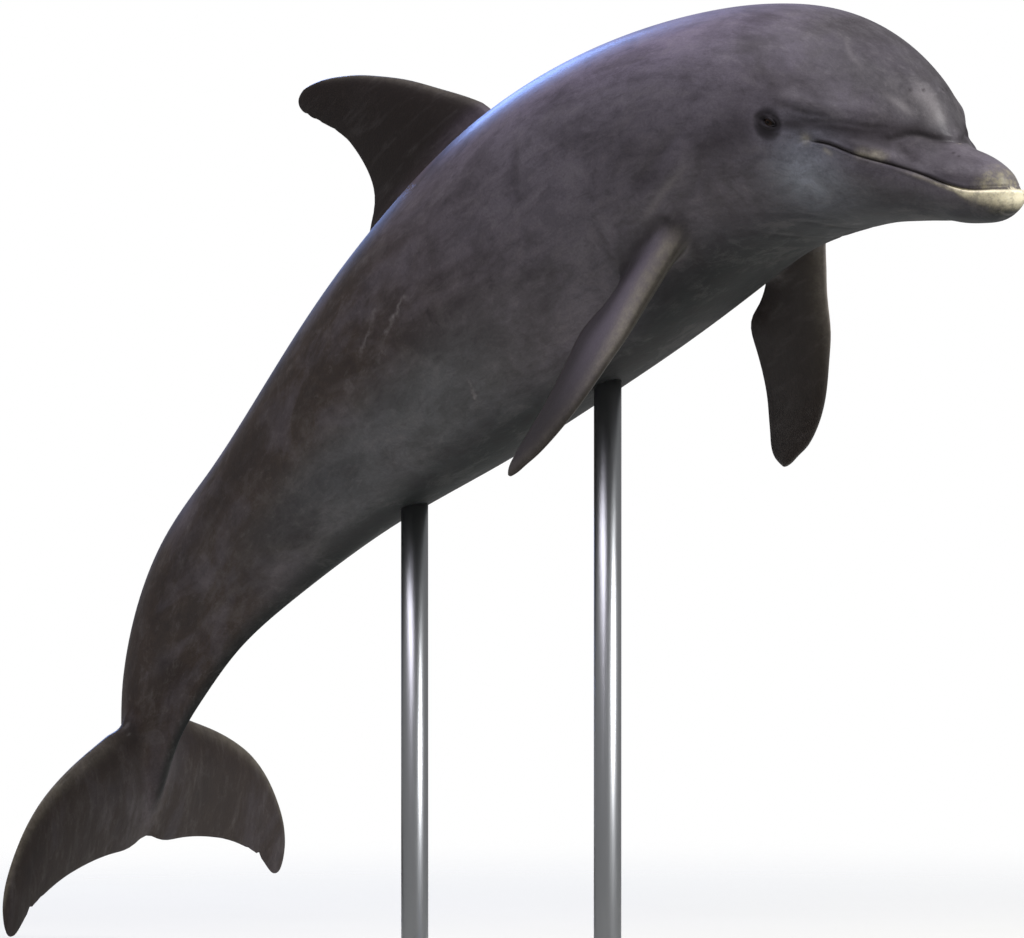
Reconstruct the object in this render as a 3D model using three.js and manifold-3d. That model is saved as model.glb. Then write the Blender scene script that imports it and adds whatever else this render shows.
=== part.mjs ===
// A bottlenose dolphin caught in mid-leap, as a life-size display model on a steel stand.
// Millimetres, +Z up, heading along +X, the animal's left side towards +Y. The origin is on the
// floor, under the middle of the model's bounding box.
//
// The body is lofted along a bent spine: a place on it is given by its share of SPINE behind the
// tip of the jaws, a distance to the left and a distance towards the back. The loft is cut across
// into head, neck, thorax, abdomen and tail stock; fins are lofts of their own, cut by the body.

import * as THREE from 'three';
import { mergeVertices } from 'three/addons/utils/BufferGeometryUtils.js';
import Module from 'manifold-3d';

const wasm = await Module();
wasm.setup();

// ---------------------------------------------------------------- driving dimensions

const SPINE = 2540;               // mm, length of the bent spine that all shares below refer to
const NOTCH = 0.99;               // share where the notch between the flukes lies
const GAP = 0.3;                  // mm, between neighbouring pieces
const RING_SEGMENTS = 34;         // round the body
const FIN_SEGMENTS = 14;          // round a fin section
const FIN_ROWS = 15;              // from root to tip of a fin
const TAIL_ROLL = 10;             // degrees, the left fluke carried higher than the right
const TAIL_YAW = -5;              // degrees, the flukes steered to the left

const EYE = { share: 0.1492, height: 0.0144, side: 0.0572, radius: 14 };
const NECK_START = 0.185;
const CHEST_START = 0.238;
const ABDOMEN_START = 0.44;
const TAIL_START = 0.63;
const BEAK_END = 0.054;
const JAW_END = 0.1185;
const TAIL_END = 0.972;           // where the body fades out inside the flukes
const FLUKE_CUT = 0.0175;         // share, half the width of the middle piece of the flukes

const TAIL_CLEARANCE = 60;        // mm, lowest fluke tip above the floor
const BASE = { length: 1240, width: 640, thickness: 20, corner: 110, edge: 2, middle: -950 };
const ROD = { radius: 21, footRadius: 62, footHeight: 12, front: 0.37, rear: 0.575 };   // shares of SPINE

// Spine direction in degrees below the horizontal, looking back along the animal.
const PITCH = [[0, -8.6], [0.1, -8.6], [0.17, -5], [0.24, 13], [0.34, 24.4], [0.46, 29.4],
  [0.58, 31.5], [0.7, 34], [0.8, 40], [0.87, 54], [0.93, 74], [0.985, 85], [1.05, 88]];

// Share of the spine, then back, belly and half width there, all as shares of SPINE.
const BODY = [[0, -0.0060, 0.0060, 0], [0.004, 0.0050, 0.0145, 0.0102], [0.012, 0.0090, 0.0214, 0.0156],
  [0.026, 0.0124, 0.0255, 0.0211], [0.04, 0.0147, 0.0276, 0.0243], [0.05, 0.0166, 0.0282, 0.0262],
  [0.056, 0.0203, 0.0292, 0.0288], [0.064, 0.0308, 0.0305, 0.0335], [0.08, 0.0468, 0.0334, 0.0415],
  [0.105, 0.0598, 0.0388, 0.051], [0.14, 0.0712, 0.0502, 0.0605], [0.18, 0.0782, 0.063, 0.069],
  [0.23, 0.0812, 0.0735, 0.0765], [0.3, 0.089, 0.0834, 0.0825], [0.38, 0.095, 0.0872, 0.0845],
  [0.46, 0.0935, 0.084, 0.0815], [0.55, 0.083, 0.075, 0.0725], [0.65, 0.0668, 0.06, 0.0545],
  [0.75, 0.0545, 0.0492, 0.036], [0.82, 0.0496, 0.0412, 0.024], [0.88, 0.0355, 0.0342, 0.0165],
  [0.93, 0.0224, 0.0215, 0.0135], [0.965, 0.012, 0.0115, 0.011], [0.985, 0.004, 0.004, 0.006]];

const WAIST = [[0, -0.006], [0.03, -0.0055], [0.08, 0], [1, 0]];       // height of the widest line
const MELON_LAG = 0.01;           // how much further back the melon's foot lies down its sides
const MELON_TAPER = [[0, 0], [0.04, 0], [0.065, 0.3], [0.1, 0.2], [0.16, 0.06], [0.3, 0], [1, 0]];
const BACK_RIDGE = [[0, 0], [0.42, 0], [0.5, 0.15], [0.6, 0.2], [0.75, 0.5], [0.88, 0.6], [0.95, 0.3], [1, 0]];
const BELLY_KEEL = [[0, 0], [0.5, 0], [0.65, 0.15], [0.78, 0.5], [0.88, 0.6], [0.95, 0.3], [1, 0]];
const MOUTH = [[-0.03, 0.0005], [0.006, -0.0022], [0.02, -0.0047], [0.033, -0.004], [0.0486, -0.0018],
  [0.06, 0.0003], [0.072, 0.0023], [0.0834, 0.0036], [0.097, 0.0059], [0.107, 0.0078], [0.13, 0.006]];

// Dorsal fin: height over the spine, then its leading and trailing place along the spine.
const DORSAL = [[0.06, 0.385, 0.597], [0.08, 0.402, 0.586], [0.096, 0.4185, 0.57], [0.1085, 0.43, 0.5545],
  [0.1266, 0.448, 0.5465], [0.1421, 0.4655, 0.548], [0.1605, 0.4866, 0.554], [0.1766, 0.5085, 0.565],
  [0.188, 0.526, 0.5745], [0.1945, 0.538, 0.5792], [0.2, 0.5495, 0.5808], [0.2035, 0.5592, 0.5795],
  [0.2052, 0.566, 0.5765], [0.2058, 0.571, 0.5722]];

// Flipper: share of its span, then its leading and trailing edge either side of the span line.
const FLIPPER = [[-0.2, 0.025, -0.013], [-0.025, 0.0266, -0.0135], [0.1, 0.0278, -0.0137],
  [0.1755, 0.0292, -0.0142], [0.24, 0.0312, -0.0148], [0.303, 0.0331, -0.0168], [0.368, 0.0337, -0.0212],
  [0.42, 0.0336, -0.0228], [0.504, 0.0334, -0.0186], [0.594, 0.0326, -0.013], [0.686, 0.0302, -0.0088],
  [0.78, 0.0257, -0.0064], [0.84, 0.0212, -0.005], [0.88, 0.0168, -0.0042], [0.913, 0.0134, -0.0029],
  [0.933, 0.0112, -0.0012], [0.947, 0.0092, 0.0014], [0.9545, 0.0078, 0.0041], [0.9575, 0.0064, 0.0058]];
const FLIPPER_ROOT = new THREE.Vector3(-0.2546, 0.0512, -0.0363);
const FLIPPER_SPAN = new THREE.Vector3(-0.076, 0.058, -0.142);
const FLIPPER_CHORD_LEFT = new THREE.Vector3(0.884, 0.321, -0.338);
const FLIPPER_CHORD_RIGHT = new THREE.Vector3(0.865, 0.404, -0.294);     // both as if on the left

// Fluke: distance out from the middle, then leading and trailing edge behind the notch.
const FLUKE = [[0, -0.09, 0], [0.006, -0.086, 0.003], [0.016, -0.0765, 0.0068], [0.03, -0.07, 0.0079],
  [0.0417, -0.0655, 0.0087], [0.0616, -0.0572, 0.012], [0.0816, -0.047, 0.0177], [0.0978, -0.036, 0.025],
  [0.1085, -0.0258, 0.0316], [0.1158, -0.0168, 0.0394], [0.1212, -0.0085, 0.0446], [0.1245, -0.0026, 0.0456],
  [0.129, 0.0072, 0.0438], [0.1312, 0.0136, 0.0397], [0.1325, 0.0205, 0.0344], [0.1328, 0.0262, 0.0285]];

// ---------------------------------------------------------------- curves

/** Natural cubic spline through points [x, y, ...]; column picks which y it follows. */
function spline(points, column = 1) {
  const n = points.length;
  const x = points.map((point) => point[0]);
  const y = points.map((point) => point[column]);
  const bend = new Array(n).fill(0);
  const upper = new Array(n).fill(0);
  for (let i = 1; i < n - 1; i += 1) {
    const before = x[i] - x[i - 1];
    const after = x[i + 1] - x[i];
    const kink = 6 * ((y[i + 1] - y[i]) / after - (y[i] - y[i - 1]) / before);
    const pivot = 2 * (before + after) - before * upper[i - 1];
    upper[i] = after / pivot;
    bend[i] = (kink - before * bend[i - 1]) / pivot;
  }
  for (let i = n - 2; i > 0; i -= 1) bend[i] -= upper[i] * bend[i + 1];
  return (at) => {
    let i = 0;
    while (i < n - 2 && at > x[i + 1]) i += 1;
    const width = x[i + 1] - x[i];
    const a = x[i + 1] - at;
    const b = at - x[i];
    return (bend[i] * a ** 3 + bend[i + 1] * b ** 3) / (6 * width)
      + (y[i] / width - (bend[i] * width) / 6) * a + (y[i + 1] / width - (bend[i + 1] * width) / 6) * b;
  };
}

const { smoothstep, degToRad } = THREE.MathUtils;

// The body's outline is drawn over the square root of the share, so that the snout ends round.
const ROOTED = BODY.map(([share, ...sizes]) => [Math.sqrt(share), ...sizes]);
const back = spline(ROOTED, 1);
const belly = spline(ROOTED, 2);
const halfWidth = spline(ROOTED, 3);
const pitch = spline(PITCH);
const waist = spline(WAIST);
const taper = spline(MELON_TAPER);
const ridge = spline(BACK_RIDGE);
const keel = spline(BELLY_KEEL);
const mouth = spline(MOUTH);

// ---------------------------------------------------------------- the bent spine

/** Forward, left and dorsal directions of the spine at a share of its length. */
function axes(share) {
  const slope = degToRad(pitch(Math.min(share, 1.05)));
  const yaw = degToRad(TAIL_YAW) * smoothstep(share, 0.78, 1);
  const roll = degToRad(TAIL_ROLL) * smoothstep(share, 0.6, 1);
  const forward = new THREE.Vector3(Math.cos(slope), 0, Math.sin(slope));
  const left = new THREE.Vector3(0, 1, 0);
  const dorsal = new THREE.Vector3(-Math.sin(slope), 0, Math.cos(slope));
  forward.applyAxisAngle(dorsal, yaw);
  left.applyAxisAngle(dorsal, yaw).applyAxisAngle(forward, roll);
  dorsal.applyAxisAngle(forward, roll);
  return { forward, left, dorsal };
}

const SPINE_START = -0.03;
const SPINE_STEP = 0.001;
const spinePoints = [new THREE.Vector3()];
for (let share = SPINE_START; share < 1.06; share += SPINE_STEP) {
  const ahead = axes(share + SPINE_STEP / 2).forward.multiplyScalar(-SPINE_STEP);
  spinePoints.push(spinePoints.at(-1).clone().add(ahead));
}

/** The spine's place at a share of its length, before it is moved to the tip of the jaws. */
function alongSpine(share) {
  const steps = (share - SPINE_START) / SPINE_STEP;
  const i = Math.floor(steps);
  return spinePoints[i].clone().lerp(spinePoints[i + 1], steps - i);
}
const jawTip = alongSpine(0);

/** Millimetres from shares: a distance back along the spine, out to the left and towards the back. */
function place(share, left, height) {
  const frame = axes(share);
  return alongSpine(share).sub(jawTip).addScaledVector(frame.left, left)
    .addScaledVector(frame.dorsal, height).multiplyScalar(SPINE);
}

/** How far the melon's outline is set back: most at 25 degrees up its sides, nothing on top. */
function melonLag(share, angle) {
  const low = Math.cos(angle) ** 2 * smoothstep(Math.sin(angle), 0, 0.42);
  return MELON_LAG * low * smoothstep(share, 0.035, 0.056) * (1 - smoothstep(share, 0.07, 0.1));
}

/** A point on the body's surface, at an angle from its left side over the back; grow is in mm. */
function bodyPoint(share, angle, grow = 0) {
  const root = Math.sqrt(share - melonLag(share, angle));
  const cosine = Math.cos(angle);
  const sine = Math.sin(angle);
  const upper = sine > 0;
  const middle = waist(share);
  const reach = upper ? back(root) - middle : belly(root) + middle;
  const pinch = Math.abs(cosine) ** (upper ? ridge(share) : keel(share));
  const melon = 1 - (upper ? taper(share) : 0) * sine ** 2;
  const left = halfWidth(root) * cosine * melon * pinch + (grow / SPINE) * cosine;
  const height = middle + reach * sine + (grow / SPINE) * sine;
  const line = mouth(share);
  const lip = 0.0062 * smoothstep(height, line - 0.0012, line + 0.0012) - 0.002;
  return place(share + lip * (1 - smoothstep(share, 0, 0.05)), left, height);
}

// ---------------------------------------------------------------- solids

/** A closed surface through rings of equal length, each end closed by a fan to its middle. */
function loft(rings) {
  const size = rings[0].length;
  const positions = rings.flat().flatMap((point) => point.toArray());
  const index = [];
  for (let row = 0; row < rings.length - 1; row += 1) {
    for (let i = 0; i < size; i += 1) {
      const a = row * size + i;
      const b = row * size + ((i + 1) % size);
      index.push(a, b, a + size, b, b + size, a + size);
    }
  }
  const ends = [rings[0], rings.at(-1)];
  ends.forEach((ring, end) => {
    const middle = ring.reduce((sum, point) => sum.add(point), new THREE.Vector3()).divideScalar(size);
    const centre = positions.push(...middle.toArray()) / 3 - 1;
    const start = end ? (rings.length - 1) * size : 0;
    for (let i = 0; i < size; i += 1) {
      const a = start + i;
      const b = start + ((i + 1) % size);
      index.push(...(end ? [a, b, centre] : [b, a, centre]));
    }
  });
  const geometry = new THREE.BufferGeometry();
  geometry.setAttribute('position', new THREE.Float32BufferAttribute(positions, 3));
  geometry.setIndex(index);
  return geometry;
}

/** A solid from a closed geometry, turned outside out if its faces point inwards. */
function solid(geometry) {
  const bare = geometry.clone();
  bare.deleteAttribute('normal');
  bare.deleteAttribute('uv');
  const merged = mergeVertices(bare, 1e-3);
  const build = (triangles) => new wasm.Manifold(new wasm.Mesh({
    numProp: 3,
    vertProperties: new Float32Array(merged.attributes.position.array),
    triVerts: new Uint32Array(triangles),
  }));
  const triangles = Array.from(merged.index.array);
  const first = build(triangles);
  return first.volume() > 0 ? first : build(triangles.reverse());
}

/** The body between two shares of the spine. */
function trunk(from, to, grow = 0) {
  const rows = [from];
  for (let i = 1; i < 10; i += 1) rows.push(0.1 * (i / 10) ** 1.7);
  for (let share = 0.1; share < 1; share += 0.019) rows.push(share);
  const inside = rows.filter((share) => share > from + 0.003 && share < to - 0.003);
  const turns = Array.from({ length: RING_SEGMENTS }, (_, i) => (2 * Math.PI * (i + 0.5)) / RING_SEGMENTS);
  return solid(loft([from, ...inside, to].map((share) => turns.map((turn) => bodyPoint(share, turn, grow)))));
}

/** One length of the body, with half a gap left at each cut end. */
function length(from, to) {
  const half = GAP / 2 / SPINE;
  return trunk(from === 0 ? 0.0008 : from + half, to + (to === TAIL_END ? 0 : -half));
}

/** Chordwise place from 0 to 1 and thickness either side, round a fin section with a blunt nose. */
function finSection(turn, thickness, edge) {
  const angle = Math.min(turn, 2 * Math.PI - turn);
  const side = turn <= Math.PI ? 1 : -1;
  const bulge = (thickness / 0.77) * Math.sin(angle / 2) * Math.cos(angle / 2) ** 2;
  return [(1 - Math.cos(angle)) / 2, side * (bulge + edge * Math.sin(angle))];
}

/** A fin's edge as a spline over the root of the distance to the tip, so that the tip is round. */
function finEdge(outline, column) {
  const tip = outline.at(-1)[0];
  const edge = spline(outline.map((row) => [-Math.sqrt(tip - row[0]), row[column]]));
  return (level) => edge(-Math.sqrt(Math.max(0, tip - level)));
}

/** A fin as a loft of rows closer together towards the tip, with its half thickness at root and tip. */
function fin(outline, thickness, power, edge, at) {
  const lead = finEdge(outline, 1);
  const trail = finEdge(outline, 2);
  const first = outline[0][0];
  const last = outline.at(-1)[0];
  const thick = (level) => {
    const rest = Math.max(0, (last - level) / (last - first));
    return thickness[0] * rest ** power + thickness[1] * Math.sqrt(Math.min(1, rest / 0.03));
  };
  const rings = [];
  for (let row = 0; row <= FIN_ROWS; row += 1) {
    const level = last - (last - first) * (1 - row / FIN_ROWS) ** 2;
    const ring = [];
    for (let i = 0; i < FIN_SEGMENTS; i += 1) {
      const [share, side] = finSection((2 * Math.PI * i) / FIN_SEGMENTS, thick(level), edge);
      ring.push(at(level, lead(level) + (trail(level) - lead(level)) * share, side));
    }
    rings.push(ring);
  }
  return solid(loft(rings));
}

const dorsalFin = () => fin(
  DORSAL,
  [0.0165, 0.003],
  0.8,
  0.0007,
  (height, share, side) => place(share, side, height),
);

/** One flipper; side is 1 for the left and -1 for the right. */
function flipper(side) {
  const along = side > 0 ? FLIPPER_CHORD_LEFT : FLIPPER_CHORD_RIGHT;
  const face = FLIPPER_SPAN.clone().cross(along).normalize();
  return fin(
    FLIPPER,
    [0.0145, 0.0032],
    0.9,
    0.0006,
    (level, chord, thickness) => FLIPPER_ROOT.clone().addScaledVector(FLIPPER_SPAN, level)
      .addScaledVector(along, chord).addScaledVector(face, thickness)
      .multiply(new THREE.Vector3(SPINE, side * SPINE, SPINE)),
  );
}

const tail = axes(NOTCH - 0.02);
const notch = place(NOTCH, 0, 0);

/** A point of the tail plane, from shares behind the notch, out to the left and towards the back. */
function tailPoint(behind, left, height) {
  return notch.clone().addScaledVector(tail.forward, -behind * SPINE)
    .addScaledVector(tail.left, left * SPINE).addScaledVector(tail.dorsal, height * SPINE);
}

/** One fluke; side is 1 for the left and -1 for the right. */
function fluke(side) {
  return fin(
    FLUKE,
    [0.019, 0.0024],
    1.1,
    0.0006,
    (out, behind, height) => tailPoint(behind, side * (out - 0.0004), height),
  );
}

/** A box in the tail plane that reaches outwards from a share to one side of the middle. */
function flukeSide(side, from) {
  const size = 0.2;
  const geometry = new THREE.BoxGeometry(0.21 * SPINE, size * SPINE, 0.1 * SPINE);
  const basis = new THREE.Matrix4().makeBasis(tail.forward, tail.left, tail.dorsal);
  basis.setPosition(tailPoint(0, side * (from + size / 2), 0));
  return solid(geometry.applyMatrix4(basis));
}

/** All that lies under the mouth and ahead of its corners, lifted and moved back by half a gap. */
function belowMouth(sign) {
  const half = (sign * GAP) / 2 / SPINE;
  const outline = new THREE.Shape();
  const corner = (share, height) => {
    const point = place(share, 0, height);
    return new THREE.Vector2(point.x, point.z);
  };
  const points = [corner(-0.025, -0.1)];
  for (let i = 0; i <= 24; i += 1) {
    const share = -0.025 + ((JAW_END + 0.025) * i) / 24;
    points.push(corner(share + half, mouth(share) + half));
  }
  points.push(corner(JAW_END + half, -0.1));
  outline.setFromPoints(points);
  const width = 0.2 * SPINE;
  const geometry = new THREE.ExtrudeGeometry(outline, { depth: width, bevelEnabled: false });
  return solid(geometry.rotateX(Math.PI / 2).translate(0, width / 2, 0));
}

/** A ball where the eye sits; side is 1 for the left and -1 for the right. */
function eyeball(side, grow = 0) {
  const ball = new THREE.SphereGeometry(EYE.radius + grow, 16, 10);
  return solid(ball.translate(...place(EYE.share, side * EYE.side, EYE.height).toArray()));
}

// ---------------------------------------------------------------- the stand

const floor = () => -TAIL_CLEARANCE + [1, -1].map((side) => fluke(side).boundingBox().min[2])
  .reduce((low, height) => Math.min(low, height));

/** A flat plate with round corners and broken edges, on the floor. */
function standBase(level) {
  const { length: long, width, thickness, corner, edge, middle } = BASE;
  const x = long / 2 - edge - corner;
  const y = width / 2 - edge - corner;
  const outline = new THREE.Shape();
  [[x, y, 0], [-x, y, 1], [-x, -y, 2], [x, -y, 3]].forEach(([cx, cy, quarter]) => {
    outline.absarc(cx, cy, corner, (quarter * Math.PI) / 2, ((quarter + 1) * Math.PI) / 2);
  });
  const geometry = new THREE.ExtrudeGeometry(outline, {
    depth: thickness - 2 * edge, bevelThickness: edge, bevelSize: edge, bevelSegments: 1, curveSegments: 8,
  });
  return solid(geometry.translate(middle, 0, level + edge));
}

/** An upright rod on a round foot, standing on the base under a share of the spine and cut to the belly. */
function standRod(share, level, body) {
  const { x, z: top } = place(share, 0, 0);
  const bottom = level + BASE.thickness + GAP;
  const { radius, footRadius, footHeight } = ROD;
  const profile = [[0, 0], [footRadius - 2, 0], [footRadius, 2], [footRadius, footHeight - 3],
    [footRadius - 3, footHeight], [radius + 6, footHeight], [radius, footHeight + 6],
    [radius, top - bottom], [0, top - bottom]].map(([r, z]) => new THREE.Vector2(r, z));
  const geometry = new THREE.LatheGeometry(profile, 20).rotateX(Math.PI / 2).translate(x, 0, bottom);
  return solid(geometry).subtract(body);
}

// ---------------------------------------------------------------- the pieces

const inflated = trunk(0.0008, TAIL_END, 1.5 * GAP);
const sockets = eyeball(1, GAP).add(eyeball(-1, GAP));
const flukes = fluke(1).add(fluke(-1));
const aboveMouth = belowMouth(1);
const half = GAP / 2 / SPINE;
const outerFlukes = flukeSide(1, FLUKE_CUT - half).add(flukeSide(-1, FLUKE_CUT - half));
const ground = floor();

const pieces = {
  upper_jaw: length(0, BEAK_END).subtract(aboveMouth),
  lower_jaw: length(0, JAW_END + 0.01).intersect(belowMouth(-1)),
  head: length(BEAK_END, NECK_START).subtract(aboveMouth).subtract(sockets),
  neck: length(NECK_START, CHEST_START),
  thorax: length(CHEST_START, ABDOMEN_START),
  abdomen: length(ABDOMEN_START, TAIL_START),
  tail_stock: length(TAIL_START, TAIL_END).add(flukes).subtract(outerFlukes),
  dorsal_fin: dorsalFin().subtract(inflated),
  flipper_left: flipper(1).subtract(inflated),
  flipper_right: flipper(-1).subtract(inflated),
  fluke_left: flukes.intersect(flukeSide(1, FLUKE_CUT + half)),
  fluke_right: flukes.intersect(flukeSide(-1, FLUKE_CUT + half)),
  eye_left: eyeball(1),
  eye_right: eyeball(-1),
  stand_base: standBase(ground),
  stand_rod_front: standRod(ROD.front, ground, inflated),
  stand_rod_rear: standRod(ROD.rear, ground, inflated),
};

const SKIN = { color: 0x4a474b, roughness: 0.38, metalness: 0 };
const DARK_SKIN = { color: 0x39353a, roughness: 0.38, metalness: 0 };
const finishes = {
  upper_jaw: { ...SKIN, color: 0x5d5a5c },
  lower_jaw: { ...SKIN, color: 0x6b675f },
  dorsal_fin: DARK_SKIN,
  flipper_left: DARK_SKIN,
  flipper_right: DARK_SKIN,
  fluke_left: DARK_SKIN,
  fluke_right: DARK_SKIN,
  eye_left: { color: 0x17110e, roughness: 0.05, metalness: 0 },
  eye_right: { color: 0x17110e, roughness: 0.05, metalness: 0 },
  stand_base: { color: 0x2a2b2d, roughness: 0.55, metalness: 0.3 },
  stand_rod_front: { color: 0xa9abad, roughness: 0.35, metalness: 1 },
  stand_rod_rear: { color: 0xa9abad, roughness: 0.35, metalness: 1 },
};

/** A named mesh of a finished piece. */
function mesh(name, piece) {
  const { vertProperties, triVerts } = piece.getMesh();
  const geometry = new THREE.BufferGeometry();
  geometry.setAttribute('position', new THREE.BufferAttribute(new Float32Array(vertProperties), 3));
  geometry.setIndex(new THREE.BufferAttribute(new Uint32Array(triVerts), 1));
  geometry.computeVertexNormals();
  const object = new THREE.Mesh(geometry, new THREE.MeshStandardMaterial(finishes[name] ?? SKIN));
  object.name = name;
  return object;
}

const dolphin = new THREE.Group();
dolphin.add(...Object.entries(pieces).map(([name, piece]) => mesh(name, piece)));

const box = new THREE.Box3().setFromObject(dolphin);
const centre = box.getCenter(new THREE.Vector3());
dolphin.position.set(-centre.x, -centre.y, -box.min.z);

export default dolphin;
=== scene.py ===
"""A bottlenose dolphin in mid-leap, as a life-size display model on a steel stand.

Metres, +Z up, heading along +X, the animal's left side towards +Y. The body is carried along a
bent spine: a place on it is a share of SPINE behind the tip of the jaws, a distance to the left and
a distance towards the back, all as shares of SPINE. One skin covers body, fins and flukes.
"""

import bpy
import numpy as np
from mathutils import Matrix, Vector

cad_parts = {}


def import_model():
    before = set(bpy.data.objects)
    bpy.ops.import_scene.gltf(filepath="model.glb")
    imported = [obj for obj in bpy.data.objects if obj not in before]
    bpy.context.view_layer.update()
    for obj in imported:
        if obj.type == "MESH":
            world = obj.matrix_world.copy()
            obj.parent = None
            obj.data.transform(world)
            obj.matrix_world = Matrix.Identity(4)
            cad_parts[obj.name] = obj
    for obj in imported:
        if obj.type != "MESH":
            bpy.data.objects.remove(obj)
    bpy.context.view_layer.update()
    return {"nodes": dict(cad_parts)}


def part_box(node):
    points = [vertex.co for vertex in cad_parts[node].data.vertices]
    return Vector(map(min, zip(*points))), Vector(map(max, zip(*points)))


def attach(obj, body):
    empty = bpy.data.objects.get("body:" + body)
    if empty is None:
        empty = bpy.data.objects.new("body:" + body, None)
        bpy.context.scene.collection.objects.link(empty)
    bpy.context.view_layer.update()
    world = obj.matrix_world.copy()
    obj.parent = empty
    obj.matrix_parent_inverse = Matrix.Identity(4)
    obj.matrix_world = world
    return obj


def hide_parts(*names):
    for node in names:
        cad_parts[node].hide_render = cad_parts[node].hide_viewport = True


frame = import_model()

# ---------------------------------------------------------------- driving sizes

SPINE = 2.54                # m, length of the bent spine that all shares refer to
NOTCH = 0.99                # share where the notch between the flukes lies
TAIL_ROLL = 10              # degrees, the left fluke carried higher than the right
TAIL_YAW = -5               # degrees, the flukes steered to the left
TAIL_END = 0.972            # where the body fades out inside the flukes
JAW_END = 0.1185            # where the corners of the mouth lie
TIP = 0.0004                # share up to which the rings close in on the tip of the jaws
HEAD_END = 0.27             # where the fine columns of the head and chest give way to coarser ones

EYE_SHARE, EYE_SIDE, EYE_HEIGHT = 0.1492, 0.0572, 0.0144
EYE_RADIUS = 0.014          # m, the eyeball
LID_LENGTH, LID_HEIGHT = 0.0116, 0.006    # m, half the opening between the lids
LID_TILT = np.radians(-10)  # the front corner of the eye lies lower
IRIS_RADIUS = 0.0062        # m
PUPIL = (0.0036, 0.0021)    # m, half its length and height
BLOWHOLE = 0.152            # share where the blowhole lies
EAR = (0.181, -3)           # share and degrees up from the side of the ear's pinhole

# Spine direction in degrees below the horizontal, looking back along the animal.
PITCH = [[0, -8.6], [0.1, -8.6], [0.17, -5], [0.24, 13], [0.34, 24.4], [0.46, 29.4],
         [0.58, 31.5], [0.7, 34], [0.8, 40], [0.87, 54], [0.93, 74], [0.985, 85], [1.05, 88]]

# Share of the spine, then back, belly and half width there.
BODY = [[0, -0.0060, 0.0060, 0], [0.004, 0.0050, 0.0145, 0.0102], [0.012, 0.0090, 0.0214, 0.0156],
        [0.026, 0.0124, 0.0255, 0.0211], [0.04, 0.0147, 0.0276, 0.0243], [0.05, 0.0166, 0.0282, 0.0262],
        [0.056, 0.0203, 0.0292, 0.0288], [0.064, 0.0308, 0.0305, 0.0335], [0.08, 0.0468, 0.0334, 0.0415],
        [0.105, 0.0598, 0.0388, 0.051], [0.14, 0.0712, 0.0502, 0.0605], [0.18, 0.0782, 0.063, 0.069],
        [0.23, 0.0812, 0.0735, 0.0765], [0.3, 0.089, 0.0834, 0.0825], [0.38, 0.095, 0.0872, 0.0845],
        [0.46, 0.0935, 0.084, 0.0815], [0.55, 0.083, 0.075, 0.0725], [0.65, 0.0668, 0.06, 0.0545],
        [0.75, 0.0545, 0.0492, 0.036], [0.82, 0.0496, 0.0412, 0.024], [0.88, 0.0355, 0.0342, 0.0165],
        [0.93, 0.0224, 0.0215, 0.0135], [0.965, 0.012, 0.0115, 0.011], [0.985, 0.004, 0.004, 0.006]]

MELON_LAG = 0.01            # how much further back the melon's foot lies down its sides
WAIST = [[0, -0.006], [0.03, -0.0055], [0.08, 0], [1, 0]]
MELON_TAPER = [[0, 0], [0.04, 0], [0.065, 0.3], [0.1, 0.2], [0.16, 0.06], [0.3, 0], [1, 0]]
BACK_RIDGE = [[0, 0], [0.42, 0], [0.5, 0.15], [0.6, 0.2], [0.75, 0.5], [0.88, 0.6], [0.95, 0.3], [1, 0]]
BELLY_KEEL = [[0, 0], [0.5, 0], [0.65, 0.15], [0.78, 0.5], [0.88, 0.6], [0.95, 0.3], [1, 0]]
MOUTH = [[-0.03, 0.0005], [0.006, -0.0022], [0.02, -0.0047], [0.033, -0.004], [0.0486, -0.0018],
         [0.06, 0.0003], [0.072, 0.0023], [0.0834, 0.0036], [0.097, 0.0059], [0.107, 0.0078], [0.13, 0.006]]

# Dorsal fin: height over the spine, then its leading and trailing place along the spine.
DORSAL = [[0.06, 0.385, 0.597], [0.08, 0.402, 0.586], [0.096, 0.4185, 0.57], [0.1085, 0.43, 0.5545],
          [0.1266, 0.448, 0.5465], [0.1421, 0.4655, 0.548], [0.1605, 0.4866, 0.554],
          [0.1766, 0.5085, 0.565], [0.188, 0.526, 0.5745], [0.1945, 0.538, 0.5792],
          [0.2, 0.5495, 0.5808], [0.2035, 0.5592, 0.5795], [0.2052, 0.566, 0.5765],
          [0.2058, 0.571, 0.5722]]

# Flipper: share of its span, then its leading and trailing edge either side of the span line.
FLIPPER = [[-0.2, 0.025, -0.013], [-0.025, 0.0266, -0.0135], [0.1, 0.0278, -0.0137],
           [0.1755, 0.0292, -0.0142], [0.24, 0.0312, -0.0148], [0.303, 0.0331, -0.0168],
           [0.368, 0.0337, -0.0212], [0.42, 0.0336, -0.0228], [0.504, 0.0334, -0.0186],
           [0.594, 0.0326, -0.013], [0.686, 0.0302, -0.0088], [0.78, 0.0257, -0.0064],
           [0.84, 0.0212, -0.005], [0.88, 0.0168, -0.0042], [0.913, 0.0134, -0.0029],
           [0.933, 0.0112, -0.0012], [0.947, 0.0092, 0.0014], [0.9545, 0.0078, 0.0041],
           [0.9575, 0.0064, 0.0058]]
FLIPPER_ROOT = np.array([-0.2546, 0.0512, -0.0363])
FLIPPER_SPAN = np.array([-0.076, 0.058, -0.142])
FLIPPER_CHORD = {1: np.array([0.884, 0.321, -0.338]),      # of the left flipper
                 -1: np.array([0.865, 0.404, -0.294])}     # of the right one

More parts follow.
